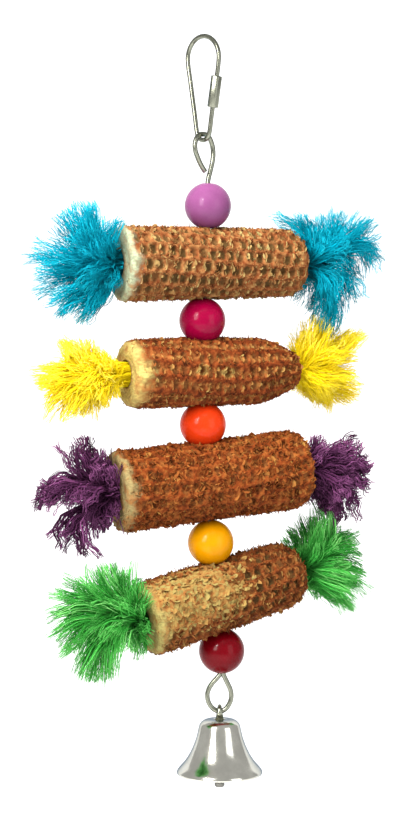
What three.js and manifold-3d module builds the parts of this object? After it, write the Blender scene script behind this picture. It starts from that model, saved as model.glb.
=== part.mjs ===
// Hanging bird chew toy made of four dried, shelled corn cob lengths.
// The cobs are strung across one bent wire with round beads between them, and a frayed, dyed rope tuft is
// plugged into each end of a cob. A screw link carries the wire, and a bell hangs from the wire's lower eye.
// Millimetres, +Z up, +X to the viewer's right and -Y towards the viewer.
// The origin is the point under the link's top bow that bears on the bar it hangs from.
import * as THREE from "three";
import { mergeVertices } from "three/addons/utils/BufferGeometryUtils.js";
import Module from "manifold-3d";

const wasm = await Module();
wasm.setup();

// Driving dimensions
const CLEARANCE = 0.35;
const HALF = 0.5;
const WIRE_DIAMETER = 1.7;
const BEAD_DIAMETER = 16;
const STRING_Y = 1.6;

const LINK = { wire: 1.6, width: 16.5, lowWidth: 7.6, bottom: -34.3, yaw: -45, gate: 2.6 };
const SLEEVE = { across: 4, length: 10.5, top: -13, bore: 2.3 };
const BEAD = { bore: 2.8, sides: 15, rings: 8 };
const BELL = { top: -234, x: 5.7, wall: 0.8, crownHole: 1.75, sides: 22 };
const STAPLE = { wire: 1.2, outerHalf: 1.9, waistHalf: 0.85, innerHalf: 1.8, innerBottom: -238.6 };
const CLAPPER = { ring: 1.6, ringWire: 1, rod: 1.2, ball: 3.6, bottom: -257.9 };

const BEADS = [
  { name: "bead_lilac", x: 1.6, z: -56.6, colour: 0xb05fb4 },
  { name: "bead_magenta", x: -0.3, z: -95.8, colour: 0xb5125f },
  { name: "bead_orange", x: -0.1, z: -131.6, colour: 0xee4b20 },
  { name: "bead_amber", x: 2.6, z: -172.4, colour: 0xf0a80c },
  { name: "bead_red", x: 6.4, z: -210.1, colour: 0x9a1426 },
];

// A cob reaches left and right from the wire. Its radius runs from butt to tip, and the tip is rounded over
// its last stretch to endShare of that. Yaw turns the left end to the viewer, tilt lifts the right, and lift
// moves the whole cob up the wire from halfway between its beads.
const CUPULE = { rows: 16, pitch: 4.1, depth: 1.5, jitter: 0.3 };
const BORE_DEPTH = 17;
const COBS = [
  {
    left: 31.4, right: 34.9, butt: 13.6, middle: 13.1, tip: 12.2,
    round: 5, endShare: 0.8, yaw: 22, tilt: 0, roll: 8, lift: 0,
  },
  {
    left: 29.1, right: 35.6, butt: 12.2, middle: 12.4, tip: 11.4,
    round: 17, endShare: 0.52, yaw: 26, tilt: 0, roll: 30, lift: 0.2,
  },
  {
    left: 33.4, right: 35.6, butt: 14.6, middle: 14.4, tip: 14.4,
    round: 4, endShare: 0.84, yaw: 21, tilt: 4.9, roll: 3, lift: 1.1,
  },
  {
    left: 28.4, right: 32.2, butt: 13.5, middle: 13, tip: 12.2,
    round: 8, endShare: 0.7, yaw: 27, tilt: 12.8, roll: 17, lift: 0,
  },
];

// Each lock of fibres leans from the cob's own axis by lean degrees, up being positive, and reaches that far.
const TUFTS = [
  {
    name: "blue",
    colour: 0x0f99b4,
    left: {
      bore: 9.6,
      locks: [
        [84, 17], [70, 21], [58, 25], [47, 28], [31, 30], [14, 32],
        [-3, 32], [-18, 32], [-34, 30], [-46, 29], [-56, 24],
      ],
    },
    right: {
      bore: 8.4,
      locks: [
        [98, 18], [84, 17], [68, 21], [52, 23], [34, 24],
        [16, 25], [0, 25], [-18, 25], [-35, 25], [-58, 22],
      ],
    },
  },
  {
    name: "yellow",
    colour: 0xf6d61c,
    left: {
      bore: 9.6,
      locks: [
        [46, 18], [28, 25], [10, 26], [-4, 30], [-13, 30],
        [-22, 30], [-36, 31], [-44, 25], [-58, 18],
      ],
    },
    right: {
      bore: 6.4,
      locks: [
        [76, 17], [62, 20], [44, 22], [28, 25], [11, 21],
        [-6, 19], [-20, 22], [-34, 21], [-52, 16],
      ],
    },
  },
  {
    name: "purple",
    colour: 0x55344f,
    left: {
      bore: 9.6,
      locks: [
        [60, 21], [53, 26], [44, 24], [26, 25], [9, 30], [-1, 29],
        [-13, 25], [-38, 30], [-47, 28], [-63, 24], [-69, 15],
      ],
    },
    right: {
      bore: 8.4,
      locks: [[75, 14], [60, 18], [45, 20], [28, 21], [11, 20], [-7, 19], [-27, 19], [-47, 18]],
    },
  },
  {
    name: "green",
    colour: 0x45a845,
    left: {
      bore: 9.6,
      locks: [
        [80, 14], [64, 20], [45, 24], [30, 28], [14, 32],
        [-4, 33], [-18, 34], [-34, 34], [-52, 33], [-58, 25],
      ],
    },
    right: {
      bore: 7.4,
      locks: [
        [84, 18], [70, 23], [50, 21], [32, 22], [12, 20],
        [-7, 20], [-27, 20], [-46, 19], [-60, 12],
      ],
    },
  },
];
const LOCK = { base: 1.5, middle: 2.1, outer: 1.7, sides: 3, lead: 6, aside: 76, sunk: 3, stand: 2.5 };

const steel = (colour) => new THREE.MeshStandardMaterial({ color: colour, roughness: 0.22, metalness: 1 });
const MATERIALS = {
  link: steel(0xc8cabb),
  wire: steel(0xbfc4b8),
  bell: steel(0xd5dade),
  cob: new THREE.MeshStandardMaterial({ color: 0x94562d, roughness: 0.95, metalness: 0 }),
};

// Helpers

function seededRandom(seed) {
  let state = seed;
  return () => {
    state = (state * 1664525 + 1013904223) % 4294967296;
    return state / 4294967296;
  };
}

function solidOf(geometry) {
  const bare = new THREE.BufferGeometry();
  const loose = geometry.index ? geometry.toNonIndexed() : geometry;
  bare.setAttribute("position", loose.getAttribute("position"));
  const merged = mergeVertices(bare, 1e-4);
  return new wasm.Manifold(
    new wasm.Mesh({
      numProp: 3,
      vertProperties: merged.attributes.position.array,
      triVerts: new Uint32Array(merged.index.array),
    }),
  );
}

function geometryOf(solid) {
  const mesh = solid.getMesh();
  const geometry = new THREE.BufferGeometry();
  geometry.setAttribute("position", new THREE.BufferAttribute(mesh.vertProperties, 3));
  geometry.setIndex(new THREE.BufferAttribute(mesh.triVerts, 1));
  geometry.computeVertexNormals();
  return geometry;
}

// The largest shell alone: sealed hollows are filled and loose scraps dropped.
function oneBody(solid) {
  return solid.decompose().reduce((best, body) => (body.volume() > best.volume() ? body : best));
}

function named(name, geometry, material) {
  const mesh = new THREE.Mesh(geometry, material);
  mesh.name = name;
  return mesh;
}

// Steps are shared evenly between the control points, so close points give a tight bend its detail.
class HandSpacedCurve extends THREE.CatmullRomCurve3 {
  getPointAt(share, target) {
    return this.getPoint(share, target);
  }
  getTangentAt(share, target) {
    return this.getTangent(share, target);
  }
}

function roundSection(radius, sides) {
  const points = [];
  for (let i = 0; i < sides; i++) {
    const turn = (i / sides) * Math.PI * 2;
    points.push(new THREE.Vector2(Math.cos(turn) * radius, Math.sin(turn) * radius));
  }
  return new THREE.Shape(points);
}

function tube(points, diameter, stepsPerPoint, sides = 8) {
  const path = new HandSpacedCurve(points, false, "centripetal");
  return new THREE.ExtrudeGeometry(roundSection(diameter / 2, sides), {
    steps: (points.length - 1) * stepsPerPoint,
    extrudePath: path,
  });
}

// A closed profile of [radius, height] points turned round the Z axis.
function turned(profile, sides) {
  const points = profile.map(([radius, height]) => new THREE.Vector2(radius, height));
  return new THREE.LatheGeometry(points, sides).rotateX(Math.PI / 2);
}

function arcPoints(centre, radius, from, to, count) {
  const points = [];
  for (let i = 0; i <= count; i++) {
    const turn = THREE.MathUtils.degToRad(THREE.MathUtils.lerp(from, to, i / count));
    points.push([centre[0] + Math.cos(turn) * radius, centre[1] + Math.sin(turn) * radius]);
  }
  return points;
}

// Screw link: a pear of two arcs and their common tangents, open at the gate

const linkHigh = { radius: (LINK.width - LINK.wire) / 2 };
const linkLow = { radius: (LINK.lowWidth - LINK.wire) / 2 };
linkHigh.z = LINK.wire / 2 - linkHigh.radius;
linkLow.z = LINK.bottom + linkLow.radius;
const legSlope = Math.asin((linkHigh.radius - linkLow.radius) / (linkHigh.z - linkLow.z));
const legUp = [Math.sin(legSlope), Math.cos(legSlope)];
const legFoot = [linkLow.radius * Math.cos(legSlope), linkLow.z - linkLow.radius * Math.sin(legSlope)];
const alongLeg = (z) => [legFoot[0] + ((z - legFoot[1]) / legUp[1]) * legUp[0], z];
const sleeveMiddleZ = SLEEVE.top - (SLEEVE.length / 2) * legUp[1];

function makeLink() {
  const slope = THREE.MathUtils.radToDeg(legSlope);
  const halfGate = (LINK.gate / 2) * legUp[1];
  const outline = [
    alongLeg(sleeveMiddleZ - halfGate),
    alongLeg((sleeveMiddleZ + legFoot[1]) * HALF),
    ...arcPoints([0, linkLow.z], linkLow.radius, -slope, slope - 180, 7),
    [-alongLeg(sleeveMiddleZ)[0], sleeveMiddleZ],
    ...arcPoints([0, linkHigh.z], linkHigh.radius, slope + 180, -slope, 9),
    alongLeg(sleeveMiddleZ + halfGate),
  ];
  const points = outline.map(([u, z]) => new THREE.Vector3(u, 0, z));
  return named("link", tube(points, LINK.wire, 2), MATERIALS.link);
}

function makeSleeve() {
  const section = roundSection(SLEEVE.across / 2, 6);
  section.holes.push(new THREE.Path(roundSection(SLEEVE.bore / 2, 10).getPoints().reverse()));
  const geometry = new THREE.ExtrudeGeometry(section, { depth: SLEEVE.length, bevelEnabled: false });
  geometry.translate(0, 0, -SLEEVE.length / 2);
  const sleeve = named("link_sleeve", geometry, MATERIALS.link);
  sleeve.position.set(alongLeg(sleeveMiddleZ)[0], 0, sleeveMiddleZ);
  sleeve.rotation.y = legSlope;
  return sleeve;
}

// Wire: a hook eye in the plane across the link, a shaft through every bead and cob, and a closed lower eye

const topEyeZ = LINK.bottom + LINK.wire / 2 + WIRE_DIAMETER / 2 + CLEARANCE;
const eyeYaw = THREE.MathUtils.degToRad(LINK.yaw + 90);
const TOP_EYE = [
  [0.8, -12.6],
  [-0.9, -10.7],
  [-2.7, -7.9],
  [-3.9, -5.1],
  [-3.7, -2.4],
  [-2.2, -0.5],
  [0, 0],
  [2.2, -0.5],
  [3.9, -2.6],
  [4.8, -5.8],
  [4.5, -9],
  [3.4, -12.5],
  [2.3, -16],
];
const LOWER_EYE = [
  [7, -218.2],
  [8.2, -221],
  [9.5, -224],
  [9.7, -226.6],
  [8.9, -229],
  [7.5, -230.7],
  [5.7, -231.3],
  [3.9, -230.7],
  [2.3, -229],
  [1.5, -226.6],
  [1.7, -224.2],
  [3.1, -221.6],
  [4.7, -219.7],
];
const eyeBottomZ = Math.min(...LOWER_EYE.map(([, z]) => z));

const topEyePoints = TOP_EYE.map(
  ([u, drop]) => new THREE.Vector3(u * Math.cos(eyeYaw), u * Math.sin(eyeYaw), topEyeZ + drop),
);
const shaftPoints = BEADS.map(({ x, z }) => new THREE.Vector3(x, STRING_Y, z));
const lowerEyePoints = LOWER_EYE.map(([x, z]) => new THREE.Vector3(x, STRING_Y, z));
const shaft = new THREE.CatmullRomCurve3([
  ...topEyePoints.slice(-2),
  ...shaftPoints,
  ...lowerEyePoints.slice(0, 2),
]);

// The shaft's place and direction at a height, found by halving.
function shaftAt(z) {
  let low = 0;
  let high = 1;
  for (let i = 0; i < 40; i++) {
    const middle = (low + high) / 2;
    if (shaft.getPoint(middle).z > z) low = middle;
    else high = middle;
  }
  return { place: shaft.getPoint(low), along: shaft.getTangent(low) };
}

function makeWire() {
  const middles = BEADS.slice(1).map(({ z }, i) => shaftAt((z + BEADS[i].z) / 2).place);
  const between = shaftPoints.flatMap((point, i) => (i < middles.length ? [point, middles[i]] : [point]));
  const route = [...topEyePoints, ...between, ...lowerEyePoints];
  return named("wire", tube(route, WIRE_DIAMETER, 2), MATERIALS.wire);
}

// Beads: bored balls, turned to the wire where they sit

function makeBead({ name, z, colour }) {
  const radius = BEAD_DIAMETER / 2;
  const mouth = THREE.MathUtils.radToDeg(Math.asin(BEAD.bore / BEAD_DIAMETER));
  const profile = arcPoints([0, 0], radius, mouth - 90, 90 - mouth, BEAD.rings);
  const bead = named(
    name,
    turned([...profile, profile[0]], BEAD.sides),
    new THREE.MeshStandardMaterial({ color: colour, roughness: 0.18, metalness: 0 }),
  );
  const { place, along } = shaftAt(z);
  bead.position.copy(place);
  bead.quaternion.setFromUnitVectors(new THREE.Vector3(0, 0, -1), along);
  return bead;
}

// Cobs: rows of cupules, each an inverted pyramid between four raised glume points, over a tapered core

function cobRadius(cob, x) {
  const middleToTip = x > 0 ? x / cob.right : -x / cob.left;
  const radius = THREE.MathUtils.lerp(cob.middle, x > 0 ? cob.tip : cob.butt, middleToTip);
  const intoRound = Math.max(0, (x - (cob.right - cob.round)) / cob.round);
  return radius * (1 - (1 - cob.endShare) * intoRound ** 2);
}

function cupuleSurface(cob, random) {
  const rings = Math.round((cob.left + cob.right) / (CUPULE.pitch / 2));
  const roll = THREE.MathUtils.degToRad(cob.roll);
  const positions = [-cob.left, 0, 0];
  const index = [];
  const at = (ring, row) => 1 + ring * CUPULE.rows + (row % CUPULE.rows);
  for (let ring = 0; ring <= rings; ring++) {
    const atEnd = ring === 0 || ring === rings;
    const x = THREE.MathUtils.lerp(-cob.left, cob.right, ring / rings);
    for (let row = 0; row < CUPULE.rows; row++) {
      const pit = (ring + row) % 2 === 0;
      const sink = (pit ? CUPULE.depth * (atEnd ? HALF : 1) : 0) + random() * CUPULE.jitter;
      const radius = cobRadius(cob, x) - sink;
      const turn = roll + (row / CUPULE.rows) * Math.PI * 2;
      positions.push(x, Math.cos(turn) * radius, Math.sin(turn) * radius);
    }
  }
  const tipCentre = positions.length / 3;
  positions.push(cob.right, 0, 0);
  for (let row = 0; row < CUPULE.rows; row++) {
    index.push(0, at(0, row + 1), at(0, row), tipCentre, at(rings, row), at(rings, row + 1));
    for (let ring = 0; ring < rings; ring++) {
      const corners = [at(ring, row), at(ring, row + 1), at(ring + 1, row + 1), at(ring + 1, row)];
      const [a, b, c, d] = (ring + row) % 2 === 0 ? corners : [...corners.slice(1), corners[0]];
      index.push(a, b, d, b, c, d);
    }
  }
  const geometry = new THREE.BufferGeometry();
  geometry.setAttribute("position", new THREE.Float32BufferAttribute(positions, 3));
  geometry.setIndex(index);
  return geometry;
}

// A cutter in the string's frame, moved into the frame of a turned group.
function cutterIn(group, geometry, place, along) {
  const standing = new THREE.Vector3(0, 1, 0);
  geometry.applyQuaternion(new THREE.Quaternion().setFromUnitVectors(standing, along));
  geometry.translate(place.x, place.y, place.z);
  return solidOf(geometry.applyMatrix4(group.matrix.clone().invert()));
}

function makeCob(cob, number, group, beadsBeside) {
  let solid = solidOf(cupuleSurface(cob, seededRandom(number)));
  const { place, along } = shaftAt(group.position.z);
  const drilled = WIRE_DIAMETER + 4 * CLEARANCE;
  solid = solid.subtract(
    cutterIn(group, new THREE.CylinderGeometry(drilled / 2, drilled / 2, BEAD_DIAMETER * 3, 8), place, along),
  );
  for (const bead of beadsBeside) {
    const seat = new THREE.SphereGeometry(BEAD_DIAMETER / 2 + CLEARANCE * 1.5, 12, 8);
    solid = solid.subtract(cutterIn(group, seat, shaftAt(bead.z).place, along));
  }
  for (const [end, side] of [
    [-cob.left, "left"],
    [cob.right, "right"],
  ]) {
    const radius = TUFTS[number - 1][side].bore / 2;
    const bore = new THREE.CylinderGeometry(radius, radius, BORE_DEPTH * 2, 14).rotateZ(Math.PI / 2);
    solid = solid.subtract(solidOf(bore.translate(end, 0, 0)));
  }
  return named(`cob_${number}`, geometryOf(oneBody(solid)), MATERIALS.cob);
}

// Tufts: a rope plug in the bore whose fibres fan out in tapered locks

// A tapered spike along a path: rings of a few corners, closed by a flat root and a point at the tip.
function lockSpike(path, radii) {
  const positions = [];
  const index = [];
  const tipPoint = path[path.length - 1];
  const rings = radii.length;
  const tangent = new THREE.Vector3();
  const across = new THREE.Vector3();
  const over = new THREE.Vector3();
  for (let ring = 0; ring < rings; ring++) {
    tangent.subVectors(path[ring + 1], path[Math.max(ring - 1, 0)]).normalize();
    across.crossVectors(tangent, new THREE.Vector3(0.31, 0.86, 0.4)).normalize();
    over.crossVectors(tangent, across);
    for (let side = 0; side < LOCK.sides; side++) {
      const turn = (side / LOCK.sides) * Math.PI * 2;
      const corner = path[ring].clone();
      corner.addScaledVector(across, Math.cos(turn) * radii[ring]);
      corner.addScaledVector(over, Math.sin(turn) * radii[ring]);
      positions.push(...corner.toArray());
    }
  }
  positions.push(...tipPoint.toArray());
  const tip = rings * LOCK.sides;
  for (let side = 0; side < LOCK.sides; side++) {
    const next = (side + 1) % LOCK.sides;
    for (let ring = 0; ring < rings; ring++) {
      const [a, b] = [ring * LOCK.sides + side, ring * LOCK.sides + next];
      const [c, d] = [a + LOCK.sides, b + LOCK.sides];
      if (ring < rings - 1) index.push(a, b, d, a, d, c);
      else index.push(a, b, tip);
    }
  }
  index.push(0, 2, 1);
  const geometry = new THREE.BufferGeometry();
  geometry.setAttribute("position", new THREE.Float32BufferAttribute(positions, 3));
  geometry.setIndex(index);
  return solidOf(geometry);
}

// One lock from the plug's mouth: it leads straight out, then bends over towards its heading.
function makeLock(mouth, outward, heading, reach, radius) {
  const root = mouth.clone().addScaledVector(outward, -LOCK.sunk);
  root.y += heading.y * radius * HALF;
  root.z += heading.z * radius * HALF;
  const bend = root.clone().addScaledVector(outward, LOCK.lead);
  const tip = mouth.clone().addScaledVector(heading, reach);
  const path = new THREE.QuadraticBezierCurve3(root, bend, tip).getPoints(3);
  return lockSpike(path, [LOCK.base, LOCK.middle, LOCK.outer]);
}

function makeTuft(name, cob, side, tuft, colour, random) {
  const out = side === "left" ? -1 : 1;
  const face = side === "left" ? -cob.left : cob.right;
  const outward = new THREE.Vector3(out, 0, 0);
  const mouth = new THREE.Vector3(face + out * LOCK.stand, 0, 0);
  const radius = tuft.bore / 2 - CLEARANCE;
  const plugLength = BORE_DEPTH - CLEARANCE + LOCK.stand;
  const plug = new THREE.CylinderGeometry(radius * 0.8, radius, plugLength, 12).rotateZ((out * Math.PI) / 2);
  const pieces = [solidOf(plug.translate(mouth.x - (out * plugLength) / 2, 0, 0))];
  tuft.locks.forEach(([lean, reach], i) => {
    for (const turn of [0, i % 2 === 0 ? LOCK.aside : -LOCK.aside]) {
      const tilt = THREE.MathUtils.degToRad(lean + (random() - HALF) * 8);
      const heading = new THREE.Vector3(out * Math.cos(tilt), 0, Math.sin(tilt));
      heading.applyAxisAngle(outward, THREE.MathUtils.degToRad(turn + (random() - HALF) * 30));
      const lock = makeLock(mouth, outward, heading, reach * (0.88 + random() * 0.16), radius);
      pieces.push(lock);
    }
  });
  const material = new THREE.MeshStandardMaterial({ color: colour, roughness: 0.9, metalness: 0 });
  return named(name, geometryOf(oneBody(wasm.Manifold.union(pieces))), material);
}

// One cob with its two tufts, in a group that stands across the wire
function makeCobGroup(cob, i) {
  const group = new THREE.Group();
  group.position.copy(shaftAt((BEADS[i].z + BEADS[i + 1].z) / 2 + cob.lift).place);
  group.rotation.set(0, -THREE.MathUtils.degToRad(cob.tilt), THREE.MathUtils.degToRad(cob.yaw), "ZYX");
  group.updateMatrix();
  group.add(makeCob(cob, i + 1, group, [BEADS[i], BEADS[i + 1]]));
  for (const side of ["left", "right"]) {
    const { name, colour } = TUFTS[i];
    const random = seededRandom(100 + i * 2 + (side === "left" ? 0 : 1));
    group.add(makeTuft(`tuft_${name}_${side}`, cob, side, TUFTS[i][side], colour, random));
  }
  return group;
}

// Bell: a flared shell, the staple that carries it on the lower eye, and a clapper on the staple's inner loop

const BELL_OUTSIDE = [
  [BELL.crownHole, 0],
  [5.2, -0.3],
  [6.7, -1],
  [7.3, -2.4],
  [7.7, -4.6],
  [8.2, -6.9],
  [9.5, -10.2],
  [11.2, -13.4],
  [12.7, -15.3],
  [14.3, -17],
  [15, -18.3],
  [14.8, -19.3],
];

function makeBell() {
  const inside = BELL_OUTSIDE.map(([radius, height], i) => {
    const last = BELL_OUTSIDE.length - 1;
    const before = BELL_OUTSIDE[Math.max(i - 1, 0)];
    const after = BELL_OUTSIDE[Math.min(i + 1, last)];
    const run = new THREE.Vector2(after[0] - before[0], after[1] - before[1]).normalize();
    if (i === 0) return [radius, height - BELL.wall];
    if (i === last) return [radius - BELL.wall, height];
    return [radius + run.y * BELL.wall, height - run.x * BELL.wall];
  });
  const profile = [...BELL_OUTSIDE, ...inside.reverse(), BELL_OUTSIDE[0]].reverse();
  const bell = named("bell", turned(profile, BELL.sides), MATERIALS.bell);
  bell.position.set(BELL.x, STRING_Y, BELL.top);
  return bell;
}

function makeStaple() {
  const top = eyeBottomZ + WIRE_DIAMETER / 2 + STAPLE.wire / 2 + CLEARANCE;
  const { outerHalf, waistHalf, innerHalf, innerBottom } = STAPLE;
  const high = top - outerHalf;
  const low = innerBottom + innerHalf;
  const waistZ = BELL.top - BELL.wall / 2;
  const outline = [
    [innerHalf, low + 0.5],
    [innerHalf * 0.72, innerBottom + innerHalf * 0.3],
    [0, innerBottom],
    [-innerHalf * 0.72, innerBottom + innerHalf * 0.3],
    [-innerHalf, low],
    [-waistHalf, waistZ - 0.9],
    [-waistHalf, waistZ + 0.9],
    [-outerHalf, high - 0.4],
    ...arcPoints([0, high], outerHalf, 180, 0, 4),
    [outerHalf, high - 0.4],
    [waistHalf, waistZ + 0.9],
    [waistHalf, waistZ - 0.9],
    [innerHalf * 0.9, low + 1.5],
  ];
  const points = outline.map(([y, z]) => new THREE.Vector3(BELL.x, STRING_Y + y, z));
  return named("bell_staple", tube(points, STAPLE.wire, 1), MATERIALS.wire);
}

function makeClapper() {
  const ringZ = STAPLE.innerBottom + STAPLE.wire / 2 + CLAPPER.ringWire / 2 + 0.2 - CLAPPER.ring;
  const ring = new THREE.TorusGeometry(CLAPPER.ring, CLAPPER.ringWire / 2, 6, 14).rotateX(Math.PI / 2);
  const rodTop = ringZ - CLAPPER.ring;
  const ballZ = CLAPPER.bottom + CLAPPER.ball / 2;
  const rodRadius = CLAPPER.rod / 2;
  const rod = new THREE.CylinderGeometry(rodRadius, rodRadius, rodTop - ballZ, 8).rotateX(Math.PI / 2);
  const ball = new THREE.SphereGeometry(CLAPPER.ball / 2, 12, 8).rotateX(Math.PI / 2);
  const solid = solidOf(ring.translate(0, 0, ringZ))
    .add(solidOf(rod.translate(0, 0, (rodTop + ballZ) / 2)))
    .add(solidOf(ball.translate(0, 0, ballZ)));
  const clapper = named("clapper", geometryOf(oneBody(solid)), MATERIALS.bell);
  clapper.position.set(BELL.x, STRING_Y, 0);
  return clapper;
}

// Assembly

const toy = new THREE.Group();
const hanger = new THREE.Group();
hanger.rotation.z = THREE.MathUtils.degToRad(LINK.yaw);
hanger.add(makeLink(), makeSleeve());
toy.add(hanger, makeWire(), ...BEADS.map(makeBead), ...COBS.map(makeCobGroup));
toy.add(makeBell(), makeStaple(), makeClapper());

export default toy;
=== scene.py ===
"""Dresses the frame of a hanging corn cob toy: shelled cobs, frayed rope, gloss beads, wire and a bell.

Every piece is made in the frame's own place and size, in metres, with +Z up and the viewer on the -Y side.
"""

import math
from types import SimpleNamespace
from typing import NamedTuple

import bmesh
import bpy
import numpy as np
from bpy.props import FloatProperty, FloatVectorProperty, PointerProperty
from bpy.types import Operator, Panel, PropertyGroup
from mathutils import Matrix, Vector, noise


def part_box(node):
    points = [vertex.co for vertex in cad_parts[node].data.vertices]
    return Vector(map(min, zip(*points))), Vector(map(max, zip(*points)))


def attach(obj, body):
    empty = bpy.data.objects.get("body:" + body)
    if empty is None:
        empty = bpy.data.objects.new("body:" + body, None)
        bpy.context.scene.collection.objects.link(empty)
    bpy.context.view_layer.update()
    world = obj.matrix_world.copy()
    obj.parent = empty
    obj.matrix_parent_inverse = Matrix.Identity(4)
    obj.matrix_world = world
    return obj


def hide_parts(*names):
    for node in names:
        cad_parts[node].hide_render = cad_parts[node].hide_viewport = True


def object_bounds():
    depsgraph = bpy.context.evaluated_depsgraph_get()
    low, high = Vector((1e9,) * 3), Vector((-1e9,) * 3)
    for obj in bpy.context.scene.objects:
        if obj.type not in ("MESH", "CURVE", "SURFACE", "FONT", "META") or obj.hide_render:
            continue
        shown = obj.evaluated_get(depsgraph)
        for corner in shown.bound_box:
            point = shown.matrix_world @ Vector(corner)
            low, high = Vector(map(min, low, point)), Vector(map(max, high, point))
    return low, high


bl_info = {
    "name": "Corn Cob Toy",
    "version": (1, 0, 0),
    "blender": (4, 5, 0),
    "location": "3D View > Sidebar > Cob Toy",
    "description": "Models a hanging toy of corn cobs, beads, frayed rope and a bell around its packed frame",
    "category": "Object",
}

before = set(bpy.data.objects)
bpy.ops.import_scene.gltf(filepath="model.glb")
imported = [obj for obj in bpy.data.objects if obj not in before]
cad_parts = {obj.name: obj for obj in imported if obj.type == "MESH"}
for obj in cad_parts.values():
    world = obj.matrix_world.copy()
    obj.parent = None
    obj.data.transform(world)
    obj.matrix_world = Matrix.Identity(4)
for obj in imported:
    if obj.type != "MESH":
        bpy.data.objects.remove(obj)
CAD_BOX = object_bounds()
MM = 0.001
UP = Vector((0, 0, 1))


# Shapes that are repeated from the part or read from the photo, in millimetres and degrees


def in_turn(**columns):
    """One record for each cob or rope, where every field lists its values from the top of the toy down."""
    return [SimpleNamespace(**dict(zip(columns, values))) for values in zip(*columns.values())]


class Lock(NamedTuple):
    """A lock of fibres, in the photo's pixels: where it bends, where it ends, and its share of the tuft."""

    bend_right: float
    bend_down: float
    right: float
    down: float
    share: float = 1.0


COBS = in_turn(
    # Reach to each side of the wire
    left=(31.4, 29.1, 33.4, 28.4),
    right=(34.9, 35.6, 35.6, 32.2),
    # Radius at the left end, at the wire and at the right end
    butt=(13.6, 12.2, 14.6, 13.5),
    middle=(13.1, 12.4, 14.4, 13),
    tip=(12.2, 11.4, 14.4, 12.2),
    # Length of the rounded right end, and the share of the radius that is left at its face
    rounded=(5, 17, 4, 8),
    end_share=(0.8, 0.52, 0.84, 0.7),
    # Turned about the wire, tipped up to the right, and rolled about the cob's own axis
    yaw=(22, 26, 21, 27),
    tilt=(0, 0, 4.9, 12.8),
    roll=(8, 30, 3, 17),
    # Raised from midway between its two beads
    lift=(0, 0.2, 1.1, 0),
)
RELIEFS = in_turn(
    # Rows of pits, the pitch along a row, and the depth of a pit and of the trough along its row
    rows=(16, 14, 18, 16),
    pitch=(3.5, 3.3, 3.5, 4.2),
    depth=(1.15, 0.7, 0.65, 1.4),
    trough=(0.3, 0.8, 0.4, 0.3),
    # Unevenness of the body, and how far it lies under the tips of its flakes
    rough=(0.34, 0.4, 0.5, 0.3),
    sunk=(0.75, 0.35, 0.75, 0.7),
    # Flakes for each pit, across its row and along its ridges
    walls=(5, 6, 5, 5),
    ridges=(22, 22, 25, 24),
    # Size of the flakes, the share of long ones on the ridges, and how far they stray
    chaff=(0.7, 0.65, 0.85, 0.85),
    shag=(0.35, 0.4, 0.6, 0.5),
    scatter=(0.18, 0.3, 0.6, 0.25),
    # Width of the bare left end, and of its rounded rim
    band=(3.2, 5.0, 3.2, 3.2),
    edge=(2.2, 4.0, 2.5, 2.8),
    # Tints, from dark chaff at 0 to pale straw at 1
    body_tint=(0.44, 0.2, 0.32, 0.28),
    wall_tint=(0.25, 0.1, 0.05, 0.1),
    trough_tint=(0.0, 0.4, 0.1, 0.05),
    wall_flake=(0.85, 0.85, 0.52, 0.6),
    ridge_flake=(0.46, 0.22, 0.36, 0.3),
    # What the red, green and blue of the chaff are dimmed to
    warmth=((0.69, 0.7, 0.7), (0.67, 0.51, 0.38), (0.65, 0.49, 0.31), (0.6, 0.54, 0.42)),
)
BEAD_NAMES = ("bead_lilac", "bead_magenta", "bead_orange", "bead_amber", "bead_red")
ROPE_NAMES = ("blue", "yellow", "purple", "green")
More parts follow.
